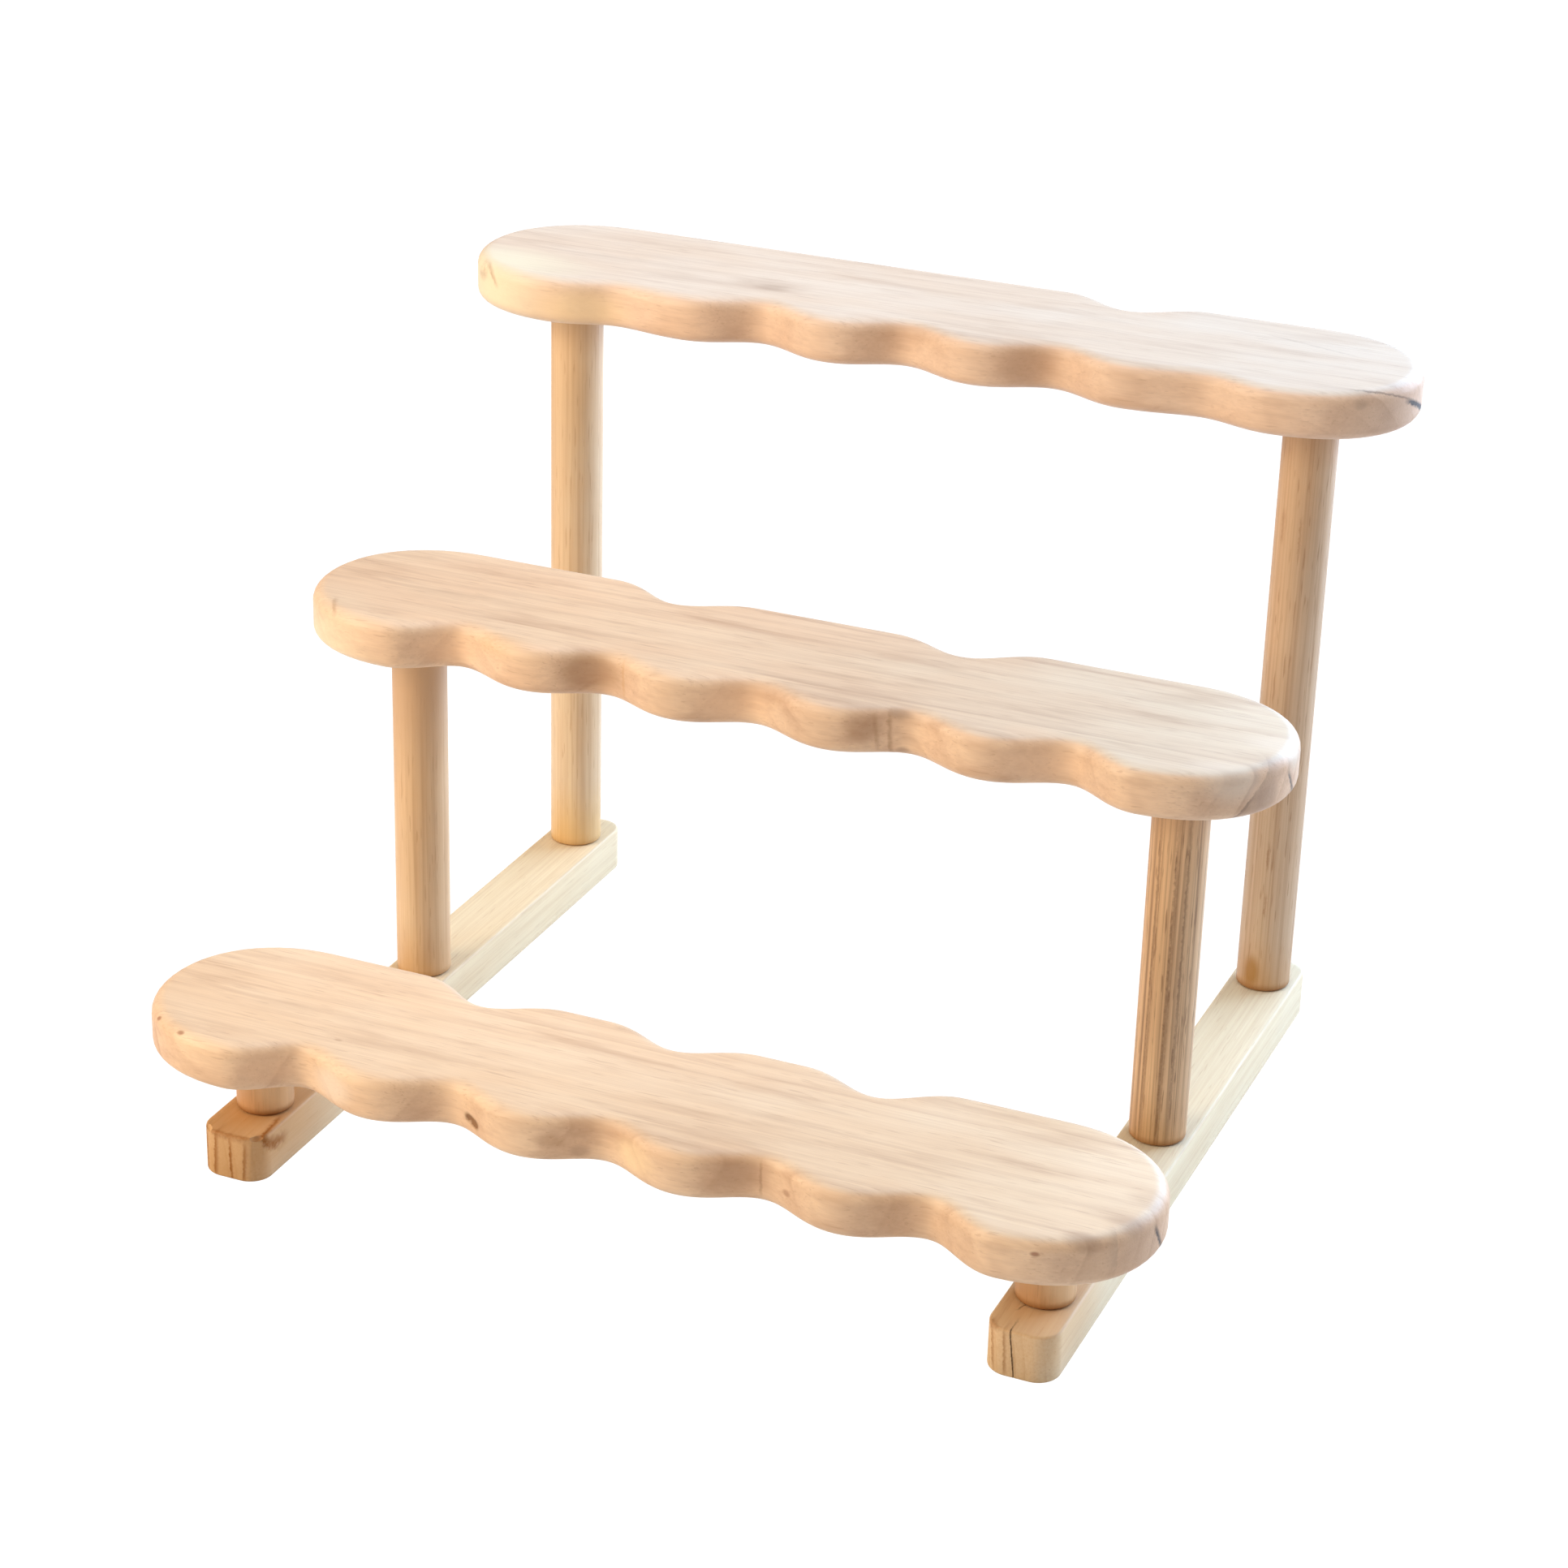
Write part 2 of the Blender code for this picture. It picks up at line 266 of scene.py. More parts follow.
KNOT_BROWN = (0.23, 0.12, 0.06)
KNOT_SQUEEZE = 0.6
KNOT_CORE = (0.15, 0.75)
KNOT_HALO = (0.4, 1.5)
HALO_SHARE = 0.4
STAIN_SQUEEZE = 0.5
STAIN_CORE = 0.3
SEAM_CORE = 0.4
WOBBLE = 0.0016


def paint_knot(place, colour, knot, late):
    near = distance_to(place, knot.spot, KNOT_SQUEEZE) / knot.reach
    halo = (1.0 - near.fade(*KNOT_HALO)) * (HALO_SHARE * knot.dark)
    core = (1.0 - near.fade(*KNOT_CORE)) * knot.dark
    return core.tint(halo.tint(colour, late), KNOT_BROWN)


def paint_stain(place, colour, stain):
    near = distance_to(place, stain.spot, STAIN_SQUEEZE) / stain.reach
    oval = 1.0 - near.fade(STAIN_CORE, 1.0)
    return (oval * stain.strength).tint(colour, stain.hue)


def paint_seam(place, colour, seam, ragged):
    aside = place.vector("SUBTRACT", seam.spot).vector("DOT_PRODUCT", seam.across, "Value")
    aside = aside + (ragged - NOISE_MIDDLE) * WOBBLE
    line = aside.fade(-seam.before, 0.0) * (1.0 - aside.fade(0.0, seam.after))
    near = distance_to(place, seam.spot, 1.0) / seam.reach
    nearby = 1.0 - near.fade(SEAM_CORE, 1.0)
    return (line * nearby * (ragged + NOISE_MIDDLE) * seam.strength).tint(colour, seam.hue)


print("marks:", Knot.__name__, Stain.__name__, Seam.__name__)

# %% [markdown]
# ## The colour of bare pine
# The colours are mixed from the bottom up: pale early wood with blushing blotches, dark late wood,
# streaks, fibres, resin canals and end grain, where open pores drink the light. Each layer could have a
# colour ramp, but all fade towards the late wood, so a plank needs only three colours. Where a piece
# asks for it, upright faces get smudges, and tops get a painted cool sheen for the window's daylight,
# more at the right end.

# %% Layer the colours
BLOTCH = (14.0, 38.0, 2.0, 0.32, 0.68)
BLOTCH_TINT = 0.5
FIBRE_TINT = 0.18
SMUDGE = (55.0, 95.0, 2.0, 0.46, 0.74)
FLAT_FACES = (0.3, 0.8)
TOP_FACES = (0.6, 0.95)
# Where the painted cool sheen on the tops fades in from left to right, and its tint
SHEEN_FROM_TO = (-0.1, 0.2)
SHEEN_TINT = (0.9, 1.08, 1.28)


def bare_wood(place, look, band, fibre, fleck, end_grain):
    colour = (texture(place, *BLOTCH) * BLOTCH_TINT).tint(look["pale"], look["blush"])
    layers = [
        band * (1.0 + end_grain) * look["contrast"],
        texture(place, *look["streaks"]) * look["streak"],
        fibre * FIBRE_TINT,
        fleck * look["fleck"],
        end_grain * look["end"],
    ]
    for layer in layers:
        colour = layer.tint(colour, look["late"])
    return colour


def smudged(place, facing, colour, look):
    flat = place.math("ABSOLUTE", facing.part("Z")).fade(*FLAT_FACES)
    smudge = texture(place, *SMUDGE) * (1.0 - flat) * look["smudge"]
    return smudge.tint(colour, look["late"])


# Painted light: up-facing faces are tinted cool and pale, more towards the right, for the window's
# daylight
def painted_top_sheen(on_stand, facing, colour, look):
    left, right = look["top_sheen"]
    rightward = on_stand.part("X").fade(*SHEEN_FROM_TO)
    sheen_amount = facing.part("Z").fade(*TOP_FACES) * (left + rightward * (right - left))
    sheen_blend = {"data_type": "RGBA", "blend_type": "MULTIPLY"}
    return on_stand.node("Mix", sheen_blend, {0: sheen_amount, 6: colour, 7: SHEEN_TINT}, output=2)


print("fibres tint by", FIBRE_TINT)

# %% [markdown]
# ## One finish for every wooden piece
# Each piece is the same kind of wood with its own values: where its heart lies, how wide its rings are,
# how pale it is, and where its marks sit. Eleven materials could be built by hand, but one function that
# takes those values is enough. A Mapping node turns the pattern for the posts, which stand up, and for
# the rails, which run from front to back. The masks also roughen and raise the surface, so a dark band
# is slightly proud, as on sanded pine.

# %% The pine finish
from mathutils import Euler, Vector

GRAIN_TURN = {"x": (0.0, 0.0, 0.0), "y": (0.0, 0.0, math.radians(-90)), "z": (0.0, math.radians(90), 0.0)}
FIBRE = (18.0, 1000.0, 3.0, 0.32, 0.72)
FLECK = (70.0, 1100.0, 1.0, 0.63, 0.72)
END_FACES = (0.15, 0.85)
RAGGED = (500.0, 500.0, 2.0)
BUMP = {"Strength": 0.35, "Distance": 0.0002}
SANDED = 0.46
ROUGHER = 0.08
BAND_RISE = 0.5
FIBRE_RISE = 0.3
FLECK_DEPTH = 0.4


def pine(name, node, look, axis, knots=(), stains=(), seams=()):
    """A solid pine material for one solid of the frame."""
    low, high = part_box(node)
    middle = (low + high) / 2
    turn = Euler(GRAIN_TURN[axis]).to_matrix()
    # The first row of the turn is the grain's own direction on the stand
    grain_way = turn[0]

    def moved(mark):
        return mark._replace(spot=turn @ (Vector(mark.spot) - middle))

    material, start = blank_material(name)
    on_stand = start.node("TexCoord", output="Object")
    facing = start.node("TexCoord", output="Normal")
    mapping = {"Vector": on_stand, "Location": turn @ -middle, "Rotation": GRAIN_TURN[axis]}
    place = start.node("Mapping", {}, mapping)

    knots = [moved(knot) for knot in knots]
    band = ring_bands(place, look, knots)
    fibre = texture(place, *FIBRE)
    fleck = texture(place, *FLECK)
    along = facing.vector("DOT_PRODUCT", grain_way, "Value")
    end_grain = start.math("ABSOLUTE", along).fade(*END_FACES)

    colour = bare_wood(place, look, band, fibre, fleck, end_grain)
    if "smudge" in look:
        colour = smudged(place, facing, colour, look)
    if "top_sheen" in look:
        colour = painted_top_sheen(on_stand, facing, colour, look)
    for knot in knots:
        colour = paint_knot(place, colour, knot, look["late"])
    for stain in stains:
        colour = paint_stain(place, colour, moved(stain))
    ragged = drawn_out(place, *RAGGED)
    for seam in seams:
        across = turn @ Vector(seam.across).normalized()
        colour = paint_seam(place, colour, moved(seam)._replace(across=across), ragged)

    proud = band * BAND_RISE + fibre * FIBRE_RISE - fleck * FLECK_DEPTH
    wanted = {
        "Base Color": colour,
        "Roughness": SANDED + band * ROUGHER + fibre * ROUGHER,
        "Normal": start.node("Bump", {}, {**BUMP, "Height": proud}),
        "Specular IOR Level": look["gloss"],
    }
    surface = start.node("BsdfPrincipled", {}, wanted)
    start.node("OutputMaterial", {}, {"Surface": surface})
    print(name, "has", len(material.node_tree.nodes), "nodes")
    return material


# %% [markdown]
# ## Turned shapes and bores
# A turned shape is a profile spun round an axis. The posts are turned, and so is the path of a drill, so
# one function makes both. The Boolean modifier takes the path of each drill out of a piece. It is
# evaluated once and its result becomes the mesh, so no modifier stays live.

# %% Turn and drill
import bmesh

TURNED_SIDES = 96
WELD = 0.00001


def turned(profile, place):
    shape = bmesh.new()
    verts = [shape.verts.new((radius, 0, height)) for radius, height in profile]
    edges = [shape.edges.new(pair) for pair in zip(verts, verts[1:])]
    bmesh.ops.spin(
        shape, geom=verts + edges, cent=(0, 0, 0), axis=(0, 0, 1), angle=math.tau,
        steps=TURNED_SIDES, use_merge=True,
    )
    bmesh.ops.remove_doubles(shape, verts=shape.verts, dist=WELD)
    bmesh.ops.recalc_face_normals(shape, faces=shape.faces)
    bmesh.ops.translate(shape, verts=shape.verts, vec=place)
    return shape


def as_object(name, shape):
    mesh = bpy.data.meshes.new(name)
    shape.to_mesh(mesh)
    shape.free()
    made = bpy.data.objects.new(name, mesh)
    bpy.context.scene.collection.objects.link(made)
    return made


def drill(piece, profile, places):
    paths = [as_object("drill path", turned(profile, place)) for place in places]
    for path in paths:
        bore = piece.modifiers.new("bore", "BOOLEAN")
        bore.operation = "DIFFERENCE"
        bore.object = path
    evaluated = piece.evaluated_get(bpy.context.evaluated_depsgraph_get())
    drilled = bpy.data.meshes.new_from_object(evaluated)
    piece.modifiers.clear()
    piece.data = drilled
    for path in paths:
        bpy.data.objects.remove(path)


print("turned shapes have", TURNED_SIDES, "sides")

# %% [markdown]
# ## From bmesh to piece
# Every piece ends the same way: it stays at the origin, is shaded smooth, takes a finish and stands for
# one solid of the frame. Sharp edges keep a crisp shade. An Edge Split modifier could do that too, but
# it leaves loose faces. Nothing moves, so every piece rides on the one body.

# %% Finish a piece
SHARP_EDGE = math.radians(50)


def stand_in(piece, material, node):
    mesh = piece.data
    mesh.shade_smooth()
    mesh.set_sharp_from_angle(angle=SHARP_EDGE)
    mesh.materials.clear()
    mesh.materials.append(material)
    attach(piece, "root")
    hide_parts(node)
    print(piece.name, "stands for", node, "with", len(mesh.polygons), "faces")


# %% [markdown]
# ## The scalloped outline
# The maker drew each board as a row of lobes and cut it with a jigsaw. Every front edge has six lobes of
# nearly even width. The back edges differ: four lobes on the front board, three on the middle one and
# two on the back one. A wave would give lobes, but all alike. Here each crest and each valley is a knot
# of a Bezier curve, with short handles in the valleys to pinch them, and Blender's own
# `interpolate_bezier` draws the stretches between.

# %% Draw the outline
from mathutils import geometry

board_low, board_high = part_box("shelf_front")
HALF_LENGTH = (board_high.x - board_low.x) / 2
END_REACH = (board_high.y - board_low.y) / 2
LOBE_REACH = 0.041
VALLEY_REACH = 0.0305
SHALLOW_REACH = 0.037
END_ROUND = 0.048
SCALLOP_RUN = 0.031
FRONT_VALLEYS = [-0.124, -0.062, 0.0, 0.062, 0.124]
CREST_HANDLE = 0.45
VALLEY_HANDLE = 0.3
END_HANDLE = 0.58
STEPS_PER_SPAN = 14
SAME_CREST = 0.004


def crests_and_valleys(valleys, shallow):
    """One long edge from left to right, as (x, reach, handle share)."""
    shoulder = HALF_LENGTH - END_ROUND
    stops = [-shoulder - SCALLOP_RUN, *valleys, shoulder + SCALLOP_RUN]
    stations = [(-shoulder, END_REACH, CREST_HANDLE)]
    for before, valley, after in zip(stops, stops[1:], stops[2:]):
        left = max(valley - SCALLOP_RUN, (before + valley) / 2)
        right = min(valley + SCALLOP_RUN, (valley + after) / 2)
        left_reach = END_REACH if valley == valleys[0] else LOBE_REACH
        right_reach = END_REACH if valley == valleys[-1] else LOBE_REACH
        outer = valley in (valleys[0], valleys[-1])
        if left - stations[-1][0] > SAME_CREST:
            stations.append((left, left_reach, CREST_HANDLE))
        stations.append((valley, SHALLOW_REACH if shallow and outer else VALLEY_REACH, VALLEY_HANDLE))
        stations.append((right, right_reach, CREST_HANDLE))
    if shoulder - stations[-1][0] > SAME_CREST:
        stations.append((shoulder, END_REACH, CREST_HANDLE))
    return stations


def edge_knots(valleys, side, shallow=False):
    """Knots of one long edge as (place, handle before, handle after)."""
    stations = crests_and_valleys(valleys, shallow)
    xs = [x for x, _, _ in stations]
    gaps = [right - left for left, right in zip(xs, xs[1:])]
    knots = []
    for index, (x, reach, share) in enumerate(stations):
        before = share * gaps[index - 1] if index else END_HANDLE * END_ROUND
        after = share * gaps[index] if index < len(gaps) else END_HANDLE * END_ROUND
        knots.append((Vector((x, side * reach)), Vector((-before, 0)), Vector((after, 0))))
    return knots


def board_outline(back_valleys, shallow):
    """Points round a board: front edge, right tip, back edge, left tip."""
    tip = Vector((0, END_HANDLE * END_REACH))
    back = [(place, after, before) for place, before, after in reversed(edge_knots(back_valleys, 1))]
    knots = edge_knots(FRONT_VALLEYS, -1, shallow)
    knots += [(Vector((HALF_LENGTH, 0)), -tip, tip), *back, (Vector((-HALF_LENGTH, 0)), tip, -tip)]
    points = []
    for (here, _, leave), (there, arrive, _) in zip(knots, knots[1:] + knots[:1]):
        span = geometry.interpolate_bezier(here, here + leave, there + arrive, there, STEPS_PER_SPAN + 1)
        points += span[:-1]
    return points


print("front edge:", len(edge_knots(FRONT_VALLEYS, -1)), "knots")

# %% [markdown]
# ## Rounding the boards over
# The outline becomes a face, the face is extruded to the board's thickness, and the rims are bevelled
# with many segments, as a router with a round-over bit leaves them. A Bevel modifier could do it, but
# the top rim is rounder than the lower one. A narrow inset inside each rim keeps the flat faces flat,
# because smooth shading would otherwise bend their light.

# %% Shape a board
TOP_ROUND = 0.0054
UNDER_ROUND = 0.004
EDGE_SEGMENTS = 8
FLAT_BORDER = 0.0015
LEVEL = 0.999
QUAD = 4
RIM_ANGLE = math.radians(60)


def rim_edges(shape):
    return [edge for edge in shape.edges if edge.calc_face_angle() > RIM_ANGLE]


def round_over(shape, edges, width, segments):
    bmesh.ops.bevel(
        shape, geom=edges, offset=width, offset_type="OFFSET", segments=segments,
        profile=0.5, affect="EDGES", material=-1,
    )


def border_flats(shape):
    flats = [face for face in shape.faces if abs(face.normal.z) > LEVEL and len(face.verts) > QUAD]
    bmesh.ops.inset_region(shape, faces=flats, thickness=FLAT_BORDER)


def board_shape(node, back_valleys, shallow):
    low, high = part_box(node)
    row = (low.y + high.y) / 2
    shape = bmesh.new()
    outline = board_outline(back_valleys, shallow)
    rim = [shape.verts.new((point.x, row + point.y, low.z)) for point in outline]
    underside = shape.faces.new(rim)
    raised = bmesh.ops.extrude_face_region(shape, geom=[underside])["geom"]
    lifted = [item for item in raised if isinstance(item, bmesh.types.BMVert)]
    bmesh.ops.translate(shape, verts=lifted, vec=(0, 0, high.z - low.z))
    bmesh.ops.recalc_face_normals(shape, faces=shape.faces)
    for level, width in ((high.z, TOP_ROUND), (low.z, UNDER_ROUND)):
        rims = [edge for edge in rim_edges(shape) if abs(edge.verts[0].co.z - level) < WELD]
        round_over(shape, rims, width, EDGE_SEGMENTS)
    border_flats(shape)
    return shape


print("board edges:", 1000 * TOP_ROUND, "mm round on top,", 1000 * UNDER_ROUND, "mm below")

# %% [markdown]
# ## A dent in the wood
# Small damage is real geometry: the mesh is divided near a spot, and its points are pushed in over an
# oval. A texture could darken the spot, but only a hollow catches the light on one side.

# %% Press a dent
Dent = namedtuple("Dent", "centre along half_length half_width push")
DENT_MARGIN = 1.3
DENT_CUTS = 3
DENT_ROUNDS = 2


def press_dent(shape, dent):
    centre = Vector(dent.centre)
    along = Vector(dent.along).normalized()
    margin = DENT_MARGIN * max(dent.half_length, dent.half_width)
    for _ in range(DENT_ROUNDS):
        middles = {edge: (edge.verts[0].co + edge.verts[1].co) / 2 for edge in shape.edges}
        near = [edge for edge, middle in middles.items() if (middle - centre).length < margin]
        bmesh.ops.subdivide_edges(shape, edges=near, cuts=DENT_CUTS, use_grid_fill=True)
    for vert in shape.verts:
        away = vert.co - centre
        lengthwise = away.dot(along)
        sideways = (away - along * lengthwise).length
        closeness = 1 - (lengthwise / dent.half_length) ** 2 - (sideways / dent.half_width) ** 2
        if closeness > 0:
            vert.co += Vector(dent.push) * closeness
    print("dent:", 1000 * dent.half_length, "mm either way")


# %% [markdown]
# ## The wood of the boards
# The boards are one batch of pine, but not one plank. The front one is peach and even, the middle one is
# streakier, and the back one is sawn nearer the bark and has a grey knot on its top. Each passes its own
# heart line, rings and colours to the finish. Image textures would not show the rings on the ends.

# %% Choose the wood of the boards
BROAD_STREAKS = (15.0, 105.0, 3.0, 0.46, 0.74)
BOARD_LOOKS = {
    "front": {
        "heart": (0.13, -0.05), "ring": 0.0078, "wander": 0.022, "contrast": 0.42,
        "streaks": BROAD_STREAKS, "streak": 0.4, "fleck": 0.3, "end": 0.38,
        "smudge": 0.3, "top_sheen": (0.15, 0.65), "gloss": 0.5,
        "pale": (0.885, 0.647, 0.414), "late": (0.5, 0.285, 0.16), "blush": (0.83, 0.55, 0.32),
    },
    "middle": {
        "heart": (0.115, -0.07), "ring": 0.0072, "wander": 0.026, "contrast": 0.46,
        "streaks": BROAD_STREAKS, "streak": 0.44, "fleck": 0.3, "end": 0.2,
        "smudge": 0.3, "top_sheen": (0.0, 1.0), "gloss": 0.5,
        "pale": (0.87, 0.642, 0.423), "late": (0.48, 0.275, 0.16), "blush": (0.81, 0.535, 0.33),
    },
    "back": {
        "heart": (-0.12, -0.06), "ring": 0.009, "wander": 0.03, "contrast": 0.3,
        "streaks": BROAD_STREAKS, "streak": 0.29, "fleck": 0.25, "end": 0.34,
        "smudge": 0.25, "top_sheen": (0.6, 1.0), "gloss": 0.5,
        "pale": (0.881, 0.645, 0.446), "late": (0.5, 0.295, 0.175), "blush": (0.83, 0.55, 0.345),
    },
}
BOARD_KNOTS = {"front": [], "middle": [], "back": [Knot((-0.0658, 0.123, 0.2886), 0.008, 0.25)]}
print("wood chosen for", ", ".join(BOARD_LOOKS))

# %% [markdown]
# ## Patches on the boards
# No two lobes match: some are sunny or tawny, some have a rusty knot or a grey smear, and dark specks
# sit on the rims. A few ovals beside the valleys are painted shade, and one is painted warm bounce light.
# Each mark is one soft oval at its place on the stand. They could be painted by hand on a texture, but
# ovals in metres stay put when the mesh changes.

# %% Mark the patches
SPECK = (0.3, 0.105, 0.04)
HONEY = (0.9, 0.81, 0.56)
SUNNY = (1.0, 0.75, 0.42)
# Painted warm bounce light, as thrown between facing lobes
PAINTED_BOUNCE = (1.0, 0.64, 0.37)
TAWNY = (0.69, 0.38, 0.14)
RUST = (0.38, 0.19, 0.08)
UMBER = (0.4, 0.26, 0.17)
SAPWOOD = (0.84, 0.74, 0.6)
BOARD_STAINS = {
    "front": [
        # Specks
        Stain((-0.1849, -0.1663, 0.0645), 0.0013, 0.75, SPECK),
        Stain((-0.1708, -0.1737, 0.0652), 0.0013, 0.75, SPECK),
        Stain((-0.1144, -0.1553, 0.0666), 0.0012, 0.3, SPECK),
        Stain((0.1676, -0.1771, 0.0613), 0.0013, 0.75, SPECK),
        Stain((0.0724, -0.169, 0.0563), 0.0018, 0.5, SPECK),
        Stain((-0.057, -0.168, 0.0585), 0.0012, 0.5, SPECK),
        # Pale and sunny lobes
        Stain((-0.112, -0.173, 0.0571), 0.01, 0.5, SAPWOOD),
        Stain((0.012, -0.172, 0.0571), 0.009, 0.5, SUNNY),
        # Grey smears at the right tip
        Stain((0.194, -0.148, 0.056), 0.017, 0.3, UMBER),
        Stain((0.1826, -0.1684, 0.0655), 0.0055, 0.45, UMBER),
        Stain((0.1938, -0.1524, 0.0662), 0.006, 0.35, UMBER),
        Stain((0.1957, -0.1343, 0.0666), 0.0065, 0.25, UMBER),
        # Painted shade and a rusty patch by the valleys, painted warm bounce light on the first lobe
        Stain((0.056, -0.1685, 0.059), 0.008, 0.35, UMBER),
        Stain((-0.0085, -0.168, 0.0525), 0.0034, 0.45, UMBER),
        Stain((-0.0181, -0.1729, 0.057), 0.0045, 0.35, RUST),
        Stain((-0.136, -0.172, 0.0575), 0.01, 0.35, PAINTED_BOUNCE),
    ],
    "middle": [
        # Honey left end and rusty knot
        Stain((-0.183, -0.036, 0.163), 0.03, 0.6, HONEY),
        Stain((0.0458, -0.0437, 0.1803), 0.007, 0.48, RUST),
        Stain((0.0585, -0.038, 0.1866), 0.0035, 0.6, UMBER),
        Stain((0.0597, -0.0374, 0.1719), 0.002, 0.6, UMBER),
        # Tawny rim, dark and pale right end
        Stain((-0.1055, -0.044, 0.187), 0.009, 0.22, TAWNY),
        Stain((0.1953, -0.0269, 0.1755), 0.008, 0.5, UMBER),
        Stain((0.198, -0.007, 0.1886), 0.011, 0.6, SAPWOOD),
        # Painted shade in a rusty hue by the second valley and on two lobes, pale right rim
        Stain((-0.0685, -0.0388, 0.18), 0.011, 0.66, RUST),
        Stain((-0.02, -0.047, 0.177), 0.013, 0.18, UMBER),
        Stain((0.02, -0.047, 0.175), 0.013, 0.14, UMBER),
        Stain((0.186, -0.0385, 0.1862), 0.012, 0.45, SAPWOOD),
    ],
    "back": [
        # Warm left end, grey and dark spots
        Stain((-0.183, 0.106, 0.274), 0.03, 0.8, HONEY),
        Stain((-0.137, 0.0945, 0.276), 0.013, 0.6, SUNNY),
        Stain((-0.069, 0.126, 0.2886), 0.011, 0.2, UMBER),
        Stain((0.053, 0.102, 0.279), 0.01, 0.3, UMBER),
        Stain((0.196, 0.118, 0.277), 0.015, 0.3, UMBER),
        Stain((0.1854, 0.1021, 0.2841), 0.003, 0.35, UMBER),
    ],
}
print("patches:", sum(map(len, BOARD_STAINS.values())))

# %% [markdown]
# ## Lines on the boards
# Dark lines are the strongest marks: the gouge, drying cracks at the right ends, strokes in a knot, and
# on the middle board's right end a sweep of painted shade over the end grain. Curves could be projected
# on the wood, but a seam also marks the rounded rims. Its direction points straight across it, and a
# wide side gives it a soft edge.

# %% Mark the lines
AMBER = (0.56, 0.285, 0.09)
BARK = (0.13, 0.065, 0.035)
WARM_BARK = (0.27, 0.13, 0.045)
SOOT = (0.055, 0.036, 0.026)
LEFT_LINE = (0.8, 0.3, 0.5)
# Points across the edge of the painted shade on the middle board's right end
SHADOW_SWEEP = (0.49, 0.56, -0.67)
TIP_CRACK = (0.0, 0.85, 0.53)
LONG_CRACK = (-0.1, 0.4, 0.91)
GOUGE_LINE = (0.198, -0.097, 0.977)
BOARD_SEAMS = {
    "front": [
        # Gouge, smear, painted shade in a valley's crease, crack in the right tip
        Seam((-0.0518, -0.1689, 0.0546), GOUGE_LINE, 0.0053, 0.0026, 0.003, 1.6, WARM_BARK),
        Seam((0.1912, -0.1603, 0.06), (-0.79, -0.62, 0.0), 0.01, 0.0006, 0.006, 0.3, UMBER),
        Seam((0.0612, -0.1658, 0.0575), (1.0, 0.0, 0.04), 0.0085, 0.0008, 0.001, 0.45, RUST),
        Seam((0.1996, -0.139, 0.0555), TIP_CRACK, 0.0095, 0.0014, 0.0018, 0.9, SOOT),
    ],
    "middle": [
        # Painted shade sweeping over the end grain and its dark edge, crack in the right tip, left end
        Seam((0.1916, -0.0329, 0.1775), SHADOW_SWEEP, 0.023, 0.0008, 0.014, 0.52, UMBER),
        Seam((0.188, -0.036, 0.1725), SHADOW_SWEEP, 0.01, 0.0006, 0.0016, 0.4, BARK),
        Seam((0.1996, -0.0105, 0.176), TIP_CRACK, 0.009, 0.0012, 0.0015, 0.8, SOOT),
        Seam((-0.1782, -0.0406, 0.1883), LEFT_LINE, 0.008, 0.0012, 0.0018, 0.38, RUST),
        # Strokes of the knot, valley
        Seam((0.0549, -0.0393, 0.1775), (1.0, 0.0, 0.05), 0.012, 0.0012, 0.0016, 0.46, RUST),
        Seam((0.0503, -0.0412, 0.1785), (1.0, 0.0, 0.12), 0.01, 0.0012, 0.0014, 0.36, RUST),
        Seam((-0.0536, -0.0399, 0.1797), (1.0, 0.0, 0.05), 0.0095, 0.0011, 0.0013, 0.35, AMBER),
    ],
    "back": [
        # Crack in the right tip, scratch on the top
        Seam((0.1925, 0.113, 0.286), LONG_CRACK, 0.019, 0.0007, 0.0008, 0.6, BARK),
        Seam((0.1996, 0.134, 0.2766), LONG_CRACK, 0.016, 0.0016, 0.002, 1.4, SOOT),
        Seam((0.153, 0.151, 0.2886), (0.28, 0.96, 0.0), 0.026, 0.001, 0.0012, 0.16, BARK),
        # Left end
        Seam((-0.181, 0.0996, 0.2847), LEFT_LINE, 0.0085, 0.0012, 0.0018, 0.45, RUST),
        Seam((-0.1875, 0.105, 0.283), (0.7, 0.6, -0.35), 0.007, 0.001, 0.0014, 0.35, RUST),
    ],
}
print("lines:", sum(map(len, BOARD_SEAMS.values())))

# %% [markdown]
# ## Painted shade in the valleys and under the boards
# The side of a lobe that turns into a valley gets a warm patch of painted shade, and on the middle board
# its front valleys get painted warm bounce light instead. The patches repeat with the valleys, so a loop
# places them and a table says how strong they are. The lowest few millimetres of each edge get painted
# shade too, from a wide seam in the underside's plane.

# %% Paint shade and bounce light in the valleys, and shade under the boards
VALLEY_SHADE_HUE = (0.6, 0.29, 0.11)
VALLEY_SHADE_HUES = {"front": VALLEY_SHADE_HUE, "middle": PAINTED_BOUNCE, "back": VALLEY_SHADE_HUE}
VALLEY_SHADE_ASIDE = 0.014
VALLEY_SHADE_REACH = 0.013
VALLEY_SHADE_STRENGTHS = {
    "front": (0.05, 0.18, 0.24, 0.4, 0.3),
    "middle": (0.45, 0.0, 0.5, 0.0, 0.45),
    "back": (0.0, 0.18, 0.26, 0.35, 0.0),
}
REAR_VALLEY_SHADE = 0.24
UNDER_SHADE_STRENGTH = {"front": 0.16, "middle": 0.16, "back": 0.48}
UNDER_RISE = 0.0055
UNDER_DEPTH = 0.001
WHOLE_BOARD = 1.0
UPWARD = (0.0, 0.0, 1.0)


